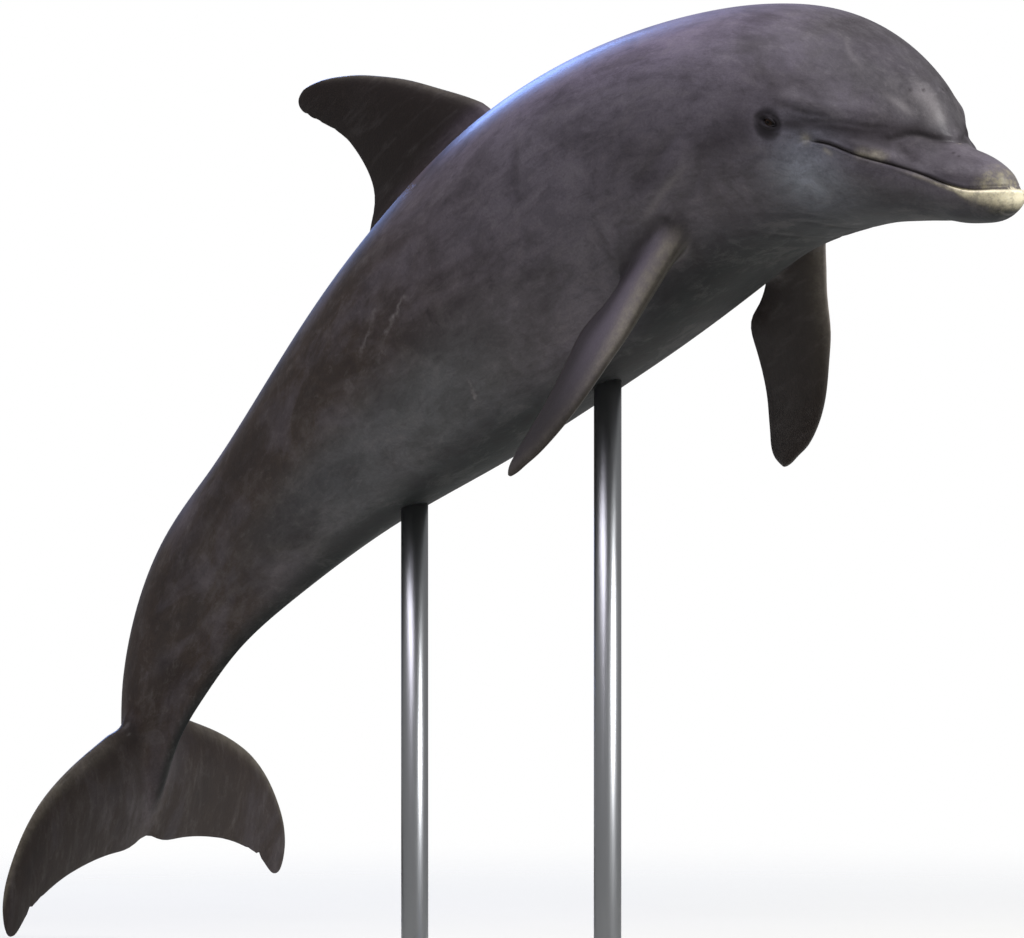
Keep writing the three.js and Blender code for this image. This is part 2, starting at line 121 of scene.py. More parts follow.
# Fluke: distance out from the middle, then leading and trailing edge behind the notch.
FLUKE = [[0, -0.09, 0], [0.006, -0.086, 0.003], [0.016, -0.0765, 0.0068], [0.03, -0.07, 0.0079],
         [0.0417, -0.0655, 0.0087], [0.0616, -0.0572, 0.012], [0.0816, -0.047, 0.0177],
         [0.0978, -0.036, 0.025], [0.1085, -0.0258, 0.0316], [0.1158, -0.0168, 0.0394],
         [0.1212, -0.0085, 0.0446], [0.1245, -0.0026, 0.0456], [0.129, 0.0072, 0.0438],
         [0.1312, 0.0136, 0.0397], [0.1325, 0.0205, 0.0344], [0.1328, 0.0262, 0.0285]]

# Small nicks in the trailing edges: where on the outline, how deep and how wide, in shares.
DORSAL_NICKS = [(0.1915, 0.0009, 0.0016), (0.1835, 0.0011, 0.0013), (0.1715, 0.0008, 0.0011),
                (0.158, 0.0005, 0.0015)]
FLUKE_NICKS = [(0.1085, 0.0022, 0.0012), (0.099, 0.0007, 0.0012), (0.071, 0.0006, 0.0011)]

# Half thickness of a fin at its root and at its tip, and the power of the distance to the tip.
DORSAL_THICKNESS = (0.0165, 0.003, 0.8)
FLIPPER_THICKNESS = (0.0145, 0.0032, 0.9)
FLUKE_THICKNESS = (0.019, 0.0024, 1.1)
FIN_SEGMENTS = 40           # points round a fin's section
LID_SEGMENTS = 96           # points round the opening between the lids

FIN_PART, LID_PART = 1, 2   # numbers that tell the skin's pieces apart while they are joined
FIN_FILLET = 0.06           # m, how far the rounding of a fin's root reaches
LID_FILLET = 0.003          # m, and that of the lids' rims


# ---------------------------------------------------------------- curves

def smooth(x, low, high):
    """0 below low, 1 above high, and the cubic 3t^2 - 2t^3 between them."""
    t = np.clip((np.asarray(x, float) - low) / (high - low), 0, 1)
    return t * t * (3 - 2 * t)


def bell(x, width):
    """exp(-(x / width)^2): 1 at 0, and all but nothing at twice the width."""
    return np.exp(-np.square(np.asarray(x, float) / width))


def curve(points, column=1):
    """Natural cubic spline from the first column of a table to another one.

    The second derivatives at the knots solve the usual three-term equations, with none at the ends.
    """
    table = np.array(points, float)
    x, y = table[:, 0], table[:, column]
    step = np.diff(x)
    inner = np.arange(1, len(x) - 1)
    system = np.eye(len(x))
    system[inner, inner - 1] = step[:-1]
    system[inner, inner] = 2 * (step[:-1] + step[1:])
    system[inner, inner + 1] = step[1:]
    kink = np.zeros(len(x))
    kink[inner] = 6 * np.diff(np.diff(y) / step)
    bend = np.linalg.solve(system, kink)

    def at(where):
        where = np.asarray(where, float)
        i = np.clip(np.searchsorted(x, where) - 1, 0, len(x) - 2)
        width = step[i]
        a = x[i + 1] - where
        b = where - x[i]
        return ((bend[i] * a**3 + bend[i + 1] * b**3) / (6 * width)
                + (y[i] / width - bend[i] * width / 6) * a + (y[i + 1] / width - bend[i + 1] * width / 6) * b)

    return at


ROOTED = [[share**0.5, *sizes] for share, *sizes in BODY]
back, belly, half_width = (curve(ROOTED, column) for column in (1, 2, 3))
pitch, waist, taper = curve(PITCH), curve(WAIST), curve(MELON_TAPER)
ridge, keel, mouth = curve(BACK_RIDGE), curve(BELLY_KEEL), curve(MOUTH)


def spread(start, end, table):
    """Places from start to end whose spacing follows a table of (place, spacing).

    They lie at equal steps of the integral of 1 / spacing.
    """
    places, spacing = np.array(table, float).T
    fine = np.linspace(start, end, 6001)
    passed = np.cumsum(1 / np.interp(fine, places, spacing)) * (fine[1] - fine[0])
    passed -= passed[0]
    return np.interp(np.linspace(0, passed[-1], int(round(passed[-1])) + 1), passed, fine)


def around(count):
    """Equal angles all the way round, from 0."""
    return np.linspace(0, 2 * np.pi, count, endpoint=False)


# ---------------------------------------------------------------- the bent spine

def axes(share):
    """Forward, left and dorsal directions of the spine: pitched, and yawed and rolled towards the tail."""
    slope = np.radians(pitch(np.minimum(share, 1.05)))
    yaw = np.radians(TAIL_YAW) * smooth(share, 0.78, 1)
    roll = np.radians(TAIL_ROLL) * smooth(share, 0.6, 1)
    zero = np.zeros_like(slope)
    ahead = np.stack([np.cos(slope), zero, np.sin(slope)], -1)
    aside = np.stack([zero, zero + 1, zero], -1)
    above = np.stack([-np.sin(slope), zero, np.cos(slope)], -1)
    cos_yaw, sin_yaw = np.cos(yaw)[..., None], np.sin(yaw)[..., None]
    cos_roll, sin_roll = np.cos(roll)[..., None], np.sin(roll)[..., None]
    forward = ahead * cos_yaw + aside * sin_yaw
    left = aside * cos_yaw - ahead * sin_yaw
    return forward, left * cos_roll + above * sin_roll, above * cos_roll - left * sin_roll


KNOTS = np.arange(-0.03, 1.08, 0.001)
steps = -axes(KNOTS[:-1] + 0.0005)[0] * 0.001
spine = np.vstack([np.zeros(3), np.cumsum(steps, 0)])


def along(share):
    """The spine's place at a share of its length, from the tip of the jaws."""
    place_at = [np.interp(share, KNOTS, column) - np.interp(0, KNOTS, column) for column in spine.T]
    return np.stack(place_at, -1)


def bent(share, left, height):
    """A place of the unbent body on the bent one: along the spine, then along its left and dorsal axes."""
    share = np.asarray(share, float)
    _, aside, above = axes(share)
    return along(share) + aside * np.asarray(left)[..., None] + above * np.asarray(height)[..., None]


# The tip of the jaws in the row frame: both eyes lie the same way from it as on the spine.
eye_middle = np.mean([corner for node in ("eye_left", "eye_right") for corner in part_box(node)], axis=0)
ORIGIN = eye_middle - SPINE * bent(EYE_SHARE, 0.0, EYE_HEIGHT)


def world(share, left, height):
    """Row-frame metres from shares of the unbent body."""
    return ORIGIN + SPINE * bent(share, left, height)


def unbent(points):
    """The unbent place (share, left, height) of row-frame points.

    Newton steps move a share along the spine until the point lies square beside it.
    """
    local = (points - ORIGIN) / SPINE
    knots = along(KNOTS)
    share = np.interp(-local[:, 0], -knots[:, 0], KNOTS)
    for _ in range(40):
        forward = axes(share)[0]
        ahead = ((local - along(share)) * forward).sum(-1)
        share = np.clip(share - 0.6 * ahead, KNOTS[0], KNOTS[-1])
    _, aside, above = axes(share)
    offset = local - along(share)
    return share, (offset * aside).sum(-1), (offset * above).sum(-1)


# ---------------------------------------------------------------- the body's surface

def half_depth(root, middle, upper):
    """From the widest line to the back where upper is true, and to the belly elsewhere."""
    return np.where(upper, back(root) - middle, belly(root) + middle)


def section(share, angle):
    """Left and height of the outline at an angle from the side over the back.

    An ellipse of its own above and below the widest line, narrowed by 1 - taper sin^2 and sharpened
    to a keel by |cos| to a power. The melon's outline is set back at its sides, most about 25 degrees up.
    """
    cosine, sine = np.cos(angle), np.sin(angle)
    upper = sine > 0
    low = cosine**2 * smooth(sine, 0, 0.42)
    root = np.sqrt(share - MELON_LAG * low * smooth(share, 0.035, 0.056) * (1 - smooth(share, 0.07, 0.1)))
    middle = waist(share)
    reach = half_depth(root, middle, upper)
    pinch = np.abs(cosine) ** np.where(upper, ridge(share), keel(share))
    melon = 1 - np.where(upper, taper(share), 0) * sine**2
    return half_width(root) * cosine * melon * pinch, middle + reach * sine


def set_back(share, height):
    """How far the surface is moved back: the upper jaw ends a little behind the lower one."""
    line = mouth(share)
    return (0.0062 * smooth(height, line - 0.0012, line + 0.0012) - 0.002) * (1 - smooth(share, 0, 0.05))


def flank_place(share, degrees):
    """The unbent place, in metres, of the outline at this share and angle, on the left side."""
    left, height = section(np.asarray(share, float), np.radians(degrees))
    return SPINE * np.stack([share, np.abs(left), height], -1)


def flank_distance(places, share, degrees):
    """How far unbent places are from the outline at this share and angle, on either flank."""
    return np.linalg.norm(places - flank_place(share, degrees), axis=-1)


def side_at(share, height, angles):
    """How far to the left the outline lies at this share and height, looked up over these angles."""
    left, heights = section(np.full(len(angles), share), angles)
    return float(np.interp(height, heights, left))


def flank_line(points, samples=140):
    """A line over the body, through (share, degrees up from the side): splines, put on the outline."""
    knots = np.linspace(0, 1, len(points))
    fine = np.linspace(0, 1, samples)
    share, degrees = (curve(np.column_stack([knots, column]))(fine) for column in np.array(points, float).T)
    return flank_place(share, degrees)


def beside(places, points, width, fade):
    """How near each unbent place is to a line over the body, on either flank.

    A bell of the distance to the nearest sample of the line, fading over a share of its two ends. A
    fade of 0 leaves that end whole.
    """
    line = flank_line(points)
    near = np.zeros(len(places))
    close = ((places > line.min(0) - 2.6 * width) & (places < line.max(0) + 2.6 * width)).all(-1)
    gap = np.linalg.norm(places[close][:, None] - line, axis=-1)
    t = gap.argmin(1) / (len(line) - 1)
    ends = smooth(t, -1e-6, fade[0]) * smooth(1 - t, -1e-6, fade[1])
    near[close] = bell(gap.min(1), width) * ends
    return near


def strokes(places, lines):
    """Strength times nearness for each line of a table of (strength, width in mm, fades, points)."""
    return [strength * beside(places, points, width / 1000, fade) for strength, width, fade, points in lines]


# Folds and swellings of the skin: millimetres out of the surface, their width, fades and line.
HEAD_FOLDS = [
    (-5.0, 5, (0, 0.4),
     [(0.0535, 90), (0.0568, 69), (0.0635, 52), (0.07, 40), (0.0738, 31), (0.078, 23), (0.085, 17)]),
    (-1.5, 4, (0.3, 0.3), [(0.14, 9), (0.1221, 13), (0.1041, 19), (0.093, 22), (0.0835, 28), (0.0755, 37)]),
    (-3.4, 14, (0.35, 0.3),
     [(0.137, 6), (0.1176, 10), (0.1019, 13), (0.0907, 17), (0.0825, 24), (0.075, 36)]),
    (3.0, 14, (0.3, 0.3),
     [(0.166, 19), (0.1478, 19), (0.1315, 21), (0.1124, 25), (0.0955, 31), (0.0818, 41), (0.0712, 54)]),
    (-0.8, 3.5, (0.3, 0.3), [(0.1465, 14), (0.1367, 16), (0.1265, 16), (0.1167, 18), (0.1042, 20)]),
    (2.4, 8, (0.3, 0.3), [(0.098, 8), (0.0885, 10), (0.0773, 12), (0.0665, 14)]),
    (1.6, 8, (0.3, 0.3), [(0.112, 6), (0.121, 8), (0.131, 7)]),
    (-1.2, 2.2, (0.3, 0.4), [(0.1165, 4), (0.1215, 3), (0.1262, 0), (0.128, -4)]),
]
BODY_FOLDS = [
    (-1.7, 5, (0.3, 0.3), [(0.184, -47), (0.165, -50), (0.149, -52), (0.135, -56), (0.122, -62)]),
    (-1.4, 6, (0.3, 0.1), [(0.212, -50), (0.190, -58), (0.172, -68), (0.160, -80), (0.156, -90)]),
    (-1.2, 5, (0.3, 0.1), [(0.150, -58), (0.138, -66), (0.131, -78), (0.128, -90)]),
    (2.6, 13, (0.2, 0.4), [(0.2737, -33), (0.2544, -29), (0.2323, -23), (0.2074, -14), (0.1867, -5)]),
    (-2.6, 11, (0.2, 0.4), [(0.2654, -24), (0.2433, -17), (0.2199, -9), (0.200, 0)]),
    (-2.0, 11, (0.3, 0.4), [(0.245, -38), (0.226, -33), (0.206, -25), (0.188, -16)]),
    (-4.0, 12, (0.3, 0.3), [(0.232, -40), (0.2392, -46), (0.2489, -58), (0.262, -70)]),
    (-3.2, 9, (0.4, 0.3), [(0.3405, 22), (0.3411, 14), (0.3453, 3), (0.3495, -6), (0.3477, -13)]),
    (-4.6, 8, (0.3, 0.3), [(0.295, -22), (0.3027, -30), (0.306, -38), (0.3138, -49)]),
    (-3.0, 7, (0.3, 0.3), [(0.308, -27), (0.318, -36), (0.332, -46), (0.343, -58)]),
    (-2.0, 10, (0.3, 0.3), [(0.285, -14), (0.297, -18), (0.312, -24), (0.330, -32)]),
    (-2.0, 13, (0.3, 0.3), [(0.6383, -42), (0.666, -47), (0.6894, -49), (0.7046, -46)]),
    (-3.0, 26, (0.3, 0.3), [(0.58, -2), (0.66, -1), (0.74, 0), (0.82, 0), (0.87, 0)]),
]

# How far out the flank would lie under the eye, as a share of the spine.
eye_flank = side_at(EYE_SHARE, EYE_HEIGHT, np.linspace(0, 1, 200))


def eye_plane(places):
    """Places round the eye as (along the lids towards the snout, across them), in half openings."""
    ahead = SPINE * EYE_SHARE - places[:, 0]
    up = places[:, 2] - SPINE * EYE_HEIGHT
    long = ahead * np.cos(LID_TILT) + up * np.sin(LID_TILT)
    tall = up * np.cos(LID_TILT) - ahead * np.sin(LID_TILT)
    return long / LID_LENGTH, tall / LID_HEIGHT


def lid_relief(places):
    """Metres of lid over the flank.

    The lids rise from the flank to lie just over the ball: at the rim the ball stands at the root of
    R^2 - r^2 above its centre, which sinks towards the corners. Two soft folds run round them.
    """
    long, tall = eye_plane(places)
    radius = np.hypot(long, tall)
    turn = np.arctan2(tall, long)
    rim = np.hypot(LID_LENGTH * np.cos(turn), LID_HEIGHT * np.sin(turn))
    ball = np.sqrt(EYE_RADIUS**2 - np.minimum(rim, EYE_RADIUS * 0.95)**2)
    sunk = SPINE * (eye_flank - EYE_SIDE)
    lift = ball - sunk + 0.0012
    upper = smooth(tall, -0.4, 0.6)
    shape = lift * (1 - smooth(radius, 1.05, 2.3)) + 0.0011 * bell(radius - 1.38, 0.3)
    folds = -0.0012 * bell(radius - 1.86, 0.16) * upper - 0.0008 * bell(radius - 1.95, 0.2) * (1 - upper)
    near = (radius < 4) & (places[:, 1] > 0.05)
    return np.where(near, shape + folds, 0)


def lip_relief(share, gap):
    """The groove of the mouth between two low lips: three bells of the height over the mouth line."""
    lips = 0.0009 * bell(gap + 0.005, 0.0034) + 0.0007 * bell(gap - 0.0045, 0.003)
    return (lips - 0.0028 * bell(gap, 0.0013)) * (1 - smooth(share, 0.113, 0.1215))


def blowhole_relief(share, side, height):
    """A crescent slot with a swelling in front of it, in a shallow dish: bells along a parabola."""
    behind = (share - BLOWHOLE) * SPINE
    aside = side * SPINE
    bow = behind + 16 * aside**2
    across = 1 - smooth(aside, 0.010, 0.0145)
    dish = bell(np.hypot(behind / 0.020, aside / 0.024), 1)
    slot = (0.0016 * bell(bow + 0.006, 0.0045) - 0.0062 * bell(bow, 0.0021)) * across
    return (height > 0.05) * (slot - 0.0016 * dish)


def relief(places):
    """Metres that the skin stands out of the plain outline: folds, lips, lids, blowhole and ear."""
    share, side, height = places.T / SPINE
    out = lip_relief(share, (height - mouth(share)) * SPINE) + lid_relief(places)
    out += blowhole_relief(share, side, height)
    out -= 0.0015 * bell(flank_distance(places, *EAR), 0.003)
    return out + sum(strokes(places, HEAD_FOLDS + BODY_FOLDS)) / 1000


# ---------------------------------------------------------------- meshes

def mesh_object(name, points, faces, part=0):
    """A mesh object at the origin from an array of points and lists of corner numbers.

    Its faces carry the part's number as a material index, which joining keeps.
    """
    mesh = bpy.data.meshes.new(name)
    mesh.from_pydata(np.asarray(points).tolist(), [], faces)
    mesh.polygons.foreach_set("material_index", np.full(len(mesh.polygons), part, np.int32))
    mesh.polygons.foreach_set("use_smooth", np.ones(len(mesh.polygons), bool))
    mesh.update()
    made = bpy.data.objects.new(name, mesh)
    bpy.context.scene.collection.objects.link(made)
    return made


def quads(rows, columns, start=0):
    """Faces of a tube: each ring joined to the next, round and round."""
    row, column = np.meshgrid(np.arange(rows - 1), np.arange(columns), indexing="ij")
    a = start + row * columns + column
    b = start + row * columns + (column + 1) % columns
    return np.stack([a, b, b + columns, a + columns], -1).reshape(-1, 4)


def fan(ring, centre, outwards):
    """Triangles from a ring to a middle point."""
    after = np.roll(ring, -1)
    pair = (after, ring) if outwards else (ring, after)
    return np.stack([*pair, np.full_like(ring, centre)], -1)


def tube(rings):
    """Points and faces of a closed tube through an array of rings, each end drawn to its middle."""
    rows, columns = rings.shape[:2]
    points = np.vstack([rings.reshape(-1, 3), rings[0].mean(0), rings[-1].mean(0)])
    last = np.arange(columns) + (rows - 1) * columns
    faces = quads(rows, columns).tolist() + fan(np.arange(columns), rows * columns, True).tolist()
    return points, faces + fan(last, rows * columns + 1, False).tolist()


def outward(points, faces):
    """The faces, all turned round if they enclose a negative volume.

    Six times the volume is the sum of a . (b x c) over the triangles; a quad counts as two.
    """
    triangles = [face[:3] for face in faces] + [[face[0], *face[2:]] for face in faces if len(face) == 4]
    a, b, c = points[np.array(triangles)].transpose(1, 0, 2)
    volume = (a * np.cross(b, c)).sum()
    return faces if volume > 0 else [face[::-1] for face in faces]


def normals(grid):
    """Unit normals of a grid of rings, from the cross product of its two directions."""
    down = np.gradient(grid, axis=0)
    across = np.roll(grid, -1, 1) - np.roll(grid, 1, 1)
    normal = np.cross(across, down)
    return normal / np.maximum(np.linalg.norm(normal, axis=-1, keepdims=True), 1e-12)


# Spacing of the rings along the spine, and of the columns from belly to back, in shares and radians.
RINGS = [[0, 0.0002], [0.02, 0.00105], [0.05, 0.00105], [0.055, 0.00074], [0.08, 0.00086],
         [0.13, 0.0012], [0.14, 0.0007], [0.16, 0.0007], [0.172, 0.0015], [0.24, 0.0031],
         [0.38, 0.0043], [0.97, 0.005]]
COLUMNS = [[-1.6, 0.042], [-0.3, 0.036], [-0.08, 0.014], [-0.02, 0.0065], [0.02, 0.0065],
           [0.05, 0.0125], [0.28, 0.0135], [0.5, 0.02], [0.9, 0.026], [1.2, 0.042], [1.36, 0.036],
           [1.47, 0.0135], [1.6, 0.0135]]


def columns():
    """Column angles of the fine head, from belly to back by the left side, with one on the mouth line."""
    lower = spread(-np.pi / 2, 0, COLUMNS)
    upper = spread(0, np.pi / 2, COLUMNS)
    return np.append(lower[:-1], upper)


def body_grid(share, crowded):
    """World points of rings at these shares.

    Each ring runs from the belly up the left side and down the right. Its crowded columns are shifted
    so that one follows the mouth line, and even out behind the neck. The relief goes along the normals,
    all turned round if they face the rings' middles.
    """
    even = np.linspace(-np.pi / 2, np.pi / 2, len(crowded))
    blend = smooth(share, 0.17, 0.26)[:, None]
    half = crowded * (1 - blend) + even * blend
    turn = np.hstack([half, np.pi - half[:, -2:0:-1]])
    middle = waist(share)
    over = mouth(np.minimum(share, JAW_END)) - middle
    reach = half_depth(np.sqrt(share), middle, over > 0)
    tilt = np.arcsin(np.clip(over / reach, -0.75, 0.75)) * (1 - smooth(share, 0.125, 0.22))
    angle = turn + tilt[:, None] * np.cos(turn)
    share = np.broadcast_to(share[:, None], angle.shape)
    left, height = section(share, angle)
    plain = world(share + set_back(share, height), left, height)
    places = SPINE * np.stack([share, np.abs(left), height], -1)
    normal = normals(plain)
    facing = np.sign((normal * (plain - plain.mean(1, keepdims=True))).sum(-1, keepdims=True).mean())
    return plain + facing * normal * relief(places.reshape(-1, 3)).reshape(angle.shape)[..., None]


def body():
    """The whole body as one tube; behind the chest only every second column goes on.

    Between the two, a strip of three triangles for each column that goes on joins the rings.
    """
    crowded = columns()
    rings = np.append(TIP * np.linspace(0.1, 0.95, 8)**2, spread(TIP, TAIL_END, RINGS))
    fine = body_grid(rings[rings < HEAD_END], crowded)
    coarse_rings = rings[rings >= HEAD_END]
    coarse = body_grid(coarse_rings, crowded)[:, ::2]
    rows, count = fine.shape[:2]
    rear_rows, rear_count = coarse.shape[:2]
    start = rows * count
    points = np.vstack([fine.reshape(-1, 3), coarse.reshape(-1, 3), fine[0].mean(0), coarse[-1].mean(0)])
    edge = np.arange(rear_count)
    ring = start - count + 2 * edge
    after = start - count + (2 * edge + 2) % count
    below = start + edge
    beyond = start + (edge + 1) % rear_count
    strip = np.concatenate([np.stack([ring, ring + 1, below], -1), np.stack([ring + 1, beyond, below], -1),
                            np.stack([ring + 1, after, beyond], -1)])
    last = start + (rear_rows - 1) * rear_count + edge
    faces = quads(rows, count).tolist() + strip.tolist() + quads(rear_rows, rear_count, start).tolist()
    faces += fan(np.arange(count), len(points) - 2, True).tolist()
    faces += fan(last, len(points) - 1, False).tolist()
    return mesh_object("skin", points, outward(points, faces))


# ---------------------------------------------------------------- fins

def fin_section(turn, thickness, edge):
    """Chordwise place from 0 to 1 and side of a fin section with a blunt nose.

    Along the chord it goes as (1 - cos a) / 2; the side is sin(a / 2) cos^2(a / 2) times the
    thickness, plus a little of sin a so that the edges stay round.
    """
    angle = np.minimum(turn, 2 * np.pi - turn)
    side = np.where(turn <= np.pi, 1, -1)
    bulge = thickness / 0.77 * np.sin(angle / 2) * np.cos(angle / 2)**2
    return (1 - np.cos(angle)) / 2, side * (bulge + edge * np.sin(angle))


def fin_grid(levels, lead, trail, thickness, edge):
    """Level, chord and side of a fin's grid, row by row between its two edges."""
    level, turn = np.meshgrid(levels, around(FIN_SEGMENTS), indexing="ij")
    share, side = fin_section(turn, thickness(level), edge)
    return level, lead(level) + (trail(level) - lead(level)) * share, side


def nicked(edge, nicks, sign):
    """An edge with small bells cut out of it."""
    return lambda level: edge(level) - sign * sum(depth * bell(level - at, wide) for at, depth, wide in nicks)


def crowd(outline, count):
    """Levels from root to tip, closer together towards the tip with the square of what is left."""
    first, last = outline[0][0], outline[-1][0]
    return last - (last - first) * np.linspace(1, 0, count)**2


def rounded(outline, column):
    """A fin's edge as a spline over the root of the distance to the tip, so that the tip is round."""
    tip = outline[-1][0]
    edge = curve([[-np.sqrt(tip - row[0]), row[column]] for row in outline])
    return lambda level: edge(-np.sqrt(np.maximum(tip - level, 0)))


def thinning(outline, root, tip, power):
    """Half thickness of a fin: a power of the distance to its tip and a little more, closing at the end."""
    first, last = outline[0][0], outline[-1][0]

    def thickness(level):
        remaining = np.clip((last - level) / (last - first), 0, 1)
        return root * remaining**power + tip * np.sqrt(np.minimum(1, remaining / 0.03))

    return thickness


dorsal_lead, dorsal_trail = rounded(DORSAL, 1), nicked(rounded(DORSAL, 2), DORSAL_NICKS, 1)
flipper_lead, flipper_trail = rounded(FLIPPER, 1), rounded(FLIPPER, 2)
fluke_lead, fluke_trail = rounded(FLUKE, 1), nicked(rounded(FLUKE, 2), FLUKE_NICKS, 1)


def dorsal_fin():
    """The fin on the back: its levels are heights over the spine, and it bends along with the body."""
    height, share, side = fin_grid(crowd(DORSAL, 56), dorsal_lead, dorsal_trail,
                                   thinning(DORSAL, *DORSAL_THICKNESS), 0.0007)
    points, faces = tube(world(share, side, height))
    return mesh_object("dorsal", points, outward(points, faces), FIN_PART)


def flipper_axes(sign):
    """Span, chord and face directions of the left or right flipper, both as if on the left."""
    face = np.cross(FLIPPER_SPAN, FLIPPER_CHORD[sign])
    return np.stack([FLIPPER_SPAN, FLIPPER_CHORD[sign], face / np.linalg.norm(face)], -1)


def flipper(sign):
    """One flipper: level, chord and thickness laid along its own three directions, then mirrored."""
    level, chord, thick = fin_grid(crowd(FLIPPER, 56), flipper_lead, flipper_trail,
                                   thinning(FLIPPER, *FLIPPER_THICKNESS), 0.0006)
    local = FLIPPER_ROOT + np.stack([level, chord, thick], -1) @ flipper_axes(sign).T
    points, faces = tube(ORIGIN + SPINE * local * np.array([1, sign, 1]))
    return mesh_object("flipper", points, outward(points, faces), FIN_PART)


tail_axes = [axis[0] for axis in axes(np.array([NOTCH - 0.02]))]
notch = bent(np.array([NOTCH]), 0.0, 0.0)[0]


def flukes():
    """Both flukes as one tube from tip to tip, flat in the plane of the tail."""
    half = crowd(FLUKE, 50)
    thickness = thinning(FLUKE, *FLUKE_THICKNESS)
    out, behind, height = fin_grid(
        np.append(-half[:0:-1], half), lambda out: fluke_lead(np.abs(out)),
        lambda out: fluke_trail(np.abs(out)), lambda out: thickness(np.abs(out)), 0.0006)
    forward, left, dorsal = tail_axes
    local = notch - behind[..., None] * forward + out[..., None] * left + height[..., None] * dorsal
    points, faces = tube(ORIGIN + SPINE * local)
    return mesh_object("flukes", points, outward(points, faces), FIN_PART)


# ---------------------------------------------------------------- eyes

def eye_point(long, tall, out, sign):
    """A place by the eye: metres along the lids towards the snout, across them and out of the head."""
    ahead = long * np.cos(LID_TILT) - tall * np.sin(LID_TILT)
    up = tall * np.cos(LID_TILT) + long * np.sin(LID_TILT)
    return world(EYE_SHARE - ahead / SPINE, sign * (EYE_SIDE + out / SPINE), EYE_HEIGHT + up / SPINE)


def lid_outline(turn):
    """The opening between the lids: an ellipse drawn out to a point at both corners."""
    return LID_LENGTH * np.cos(turn), LID_HEIGHT * np.sin(turn) * (1 - 0.35 * np.abs(np.cos(turn))**3)


def lid_opening(sign):
    """A closed plug of the opening's outline, from outside the lids down into the socket."""
    out = np.array([[0.002], [0.03]])
    points, faces = tube(eye_point(*np.broadcast_arrays(*lid_outline(around(LID_SEGMENTS)), out), sign))
    return mesh_object("opening", points, outward(points, faces), LID_PART)


def lid_rim(sign):
    """The rounded edge of both lids: a ring round the opening that lies on the ball.

    Its middle line stands at the root of R^2 - r^2; its section is a circle, thicker over the upper lid.
    """
    turn, roll = np.meshgrid(around(LID_SEGMENTS), around(12), indexing="ij")
    long, tall = lid_outline(turn)
    out = np.sqrt(EYE_RADIUS**2 - long**2 - tall**2) + 0.0002
    thick = 0.0011 + 0.0005 * smooth(np.sin(turn), -0.2, 0.8)
    outward_turn = np.arctan2(tall / LID_HEIGHT**2, long / LID_LENGTH**2)
    swing = thick * np.cos(roll)
    ring = eye_point(long + swing * np.cos(outward_turn), tall + swing * np.sin(outward_turn),
                     out + thick * np.sin(roll), sign)
    rows, count = ring.shape[:2]
    faces = quads(rows, count).tolist()
    first = np.arange(count)
    last = first + (rows - 1) * count
    faces += np.stack([last, np.roll(last, -1), np.roll(first, -1), first], -1).tolist()
    points = ring.reshape(-1, 3)
    return mesh_object("rim", points, outward(points, faces), LID_PART)


# ---------------------------------------------------------------- one skin

def combine(target, other, operation):
    """Joins another closed mesh to the target, or cuts it out, and removes it."""
    tool = target.modifiers.new("join", "BOOLEAN")
    tool.operation = operation
    tool.solver = "MANIFOLD"
    tool.object = other
    bpy.context.view_layer.update()
    made = bpy.data.meshes.new_from_object(target.evaluated_get(bpy.context.evaluated_depsgraph_get()))
    target.modifiers.clear()
    target.data = made
    bpy.data.objects.remove(other)


def mesh_points(mesh):
    """The corners of a mesh as an array."""
    points = np.zeros(len(mesh.vertices) * 3, np.float32)
    mesh.vertices.foreach_get("co", points)
    return points.reshape(-1, 3).astype(float)


def seam_points(mesh, points, part):
    """Corners that faces of this part share with faces of another one."""
    face_part = np.zeros(len(mesh.polygons), np.int32)
    mesh.polygons.foreach_get("material_index", face_part)
    sizes = np.zeros(len(mesh.polygons), np.int32)
    mesh.polygons.foreach_get("loop_total", sizes)
    corner = np.zeros(len(mesh.loops), np.int32)
    mesh.loops.foreach_get("vertex_index", corner)
    loop_part = np.repeat(face_part, sizes)
    inside = np.bincount(corner, loop_part == part, len(points))
    outside = np.bincount(corner, loop_part != part, len(points))
    return points[(inside > 0) & (outside > 0)]


def near_seam(points, seam, reach):
    """Distance to the nearest seam point, for points closer than reach, and reach for the rest."""
    distance = np.full(len(points), reach)
    close = np.flatnonzero(((points > seam.min(0) - reach) & (points < seam.max(0) + reach)).all(-1))
    for part in np.array_split(close, max(1, len(close) // 2000)):
        gap = ((points[part][:, None] - seam)**2).sum(-1).min(1)
        distance[part] = np.minimum(np.sqrt(gap), reach)
    return distance


def fillet(target, part, reach, rounds):
    """Rounds the seam round a part.

    Each point moves towards the mean of its neighbours, again and again, by a share that falls from
    the seam to nothing at reach.
    """
    mesh = target.data
    points = mesh_points(mesh)
    seam = seam_points(mesh, points, part)
    share = 1 - smooth(near_seam(points, seam, reach) / reach, 0.25, 1)
    edge = np.zeros(len(mesh.edges) * 2, np.int32)
    mesh.edges.foreach_get("vertices", edge)
    a, b = edge.reshape(-1, 2).T
    moving = (share[a] > 0) | (share[b] > 0)
    a, b = a[moving], b[moving]
    ends, others = np.concatenate([a, b]), np.concatenate([b, a])
    count = np.maximum(np.bincount(ends, minlength=len(points)), 1)[:, None]
    for _ in range(rounds):
        total = [np.bincount(ends, points[others, axis], len(points)) for axis in range(3)]
        points += 0.5 * share[:, None] * (np.stack(total, -1) / count - points)
    mesh.vertices.foreach_set("co", points.astype(np.float32).ravel())
    mesh.update()


skin = body()
for part in (dorsal_fin(), flipper(1), flipper(-1), flukes()):
    combine(skin, part, "UNION")
fillet(skin, FIN_PART, FIN_FILLET, 24)
for sign in (1, -1):
    combine(skin, lid_opening(sign), "DIFFERENCE")
    combine(skin, lid_rim(sign), "UNION")
fillet(skin, LID_PART, LID_FILLET, 2)
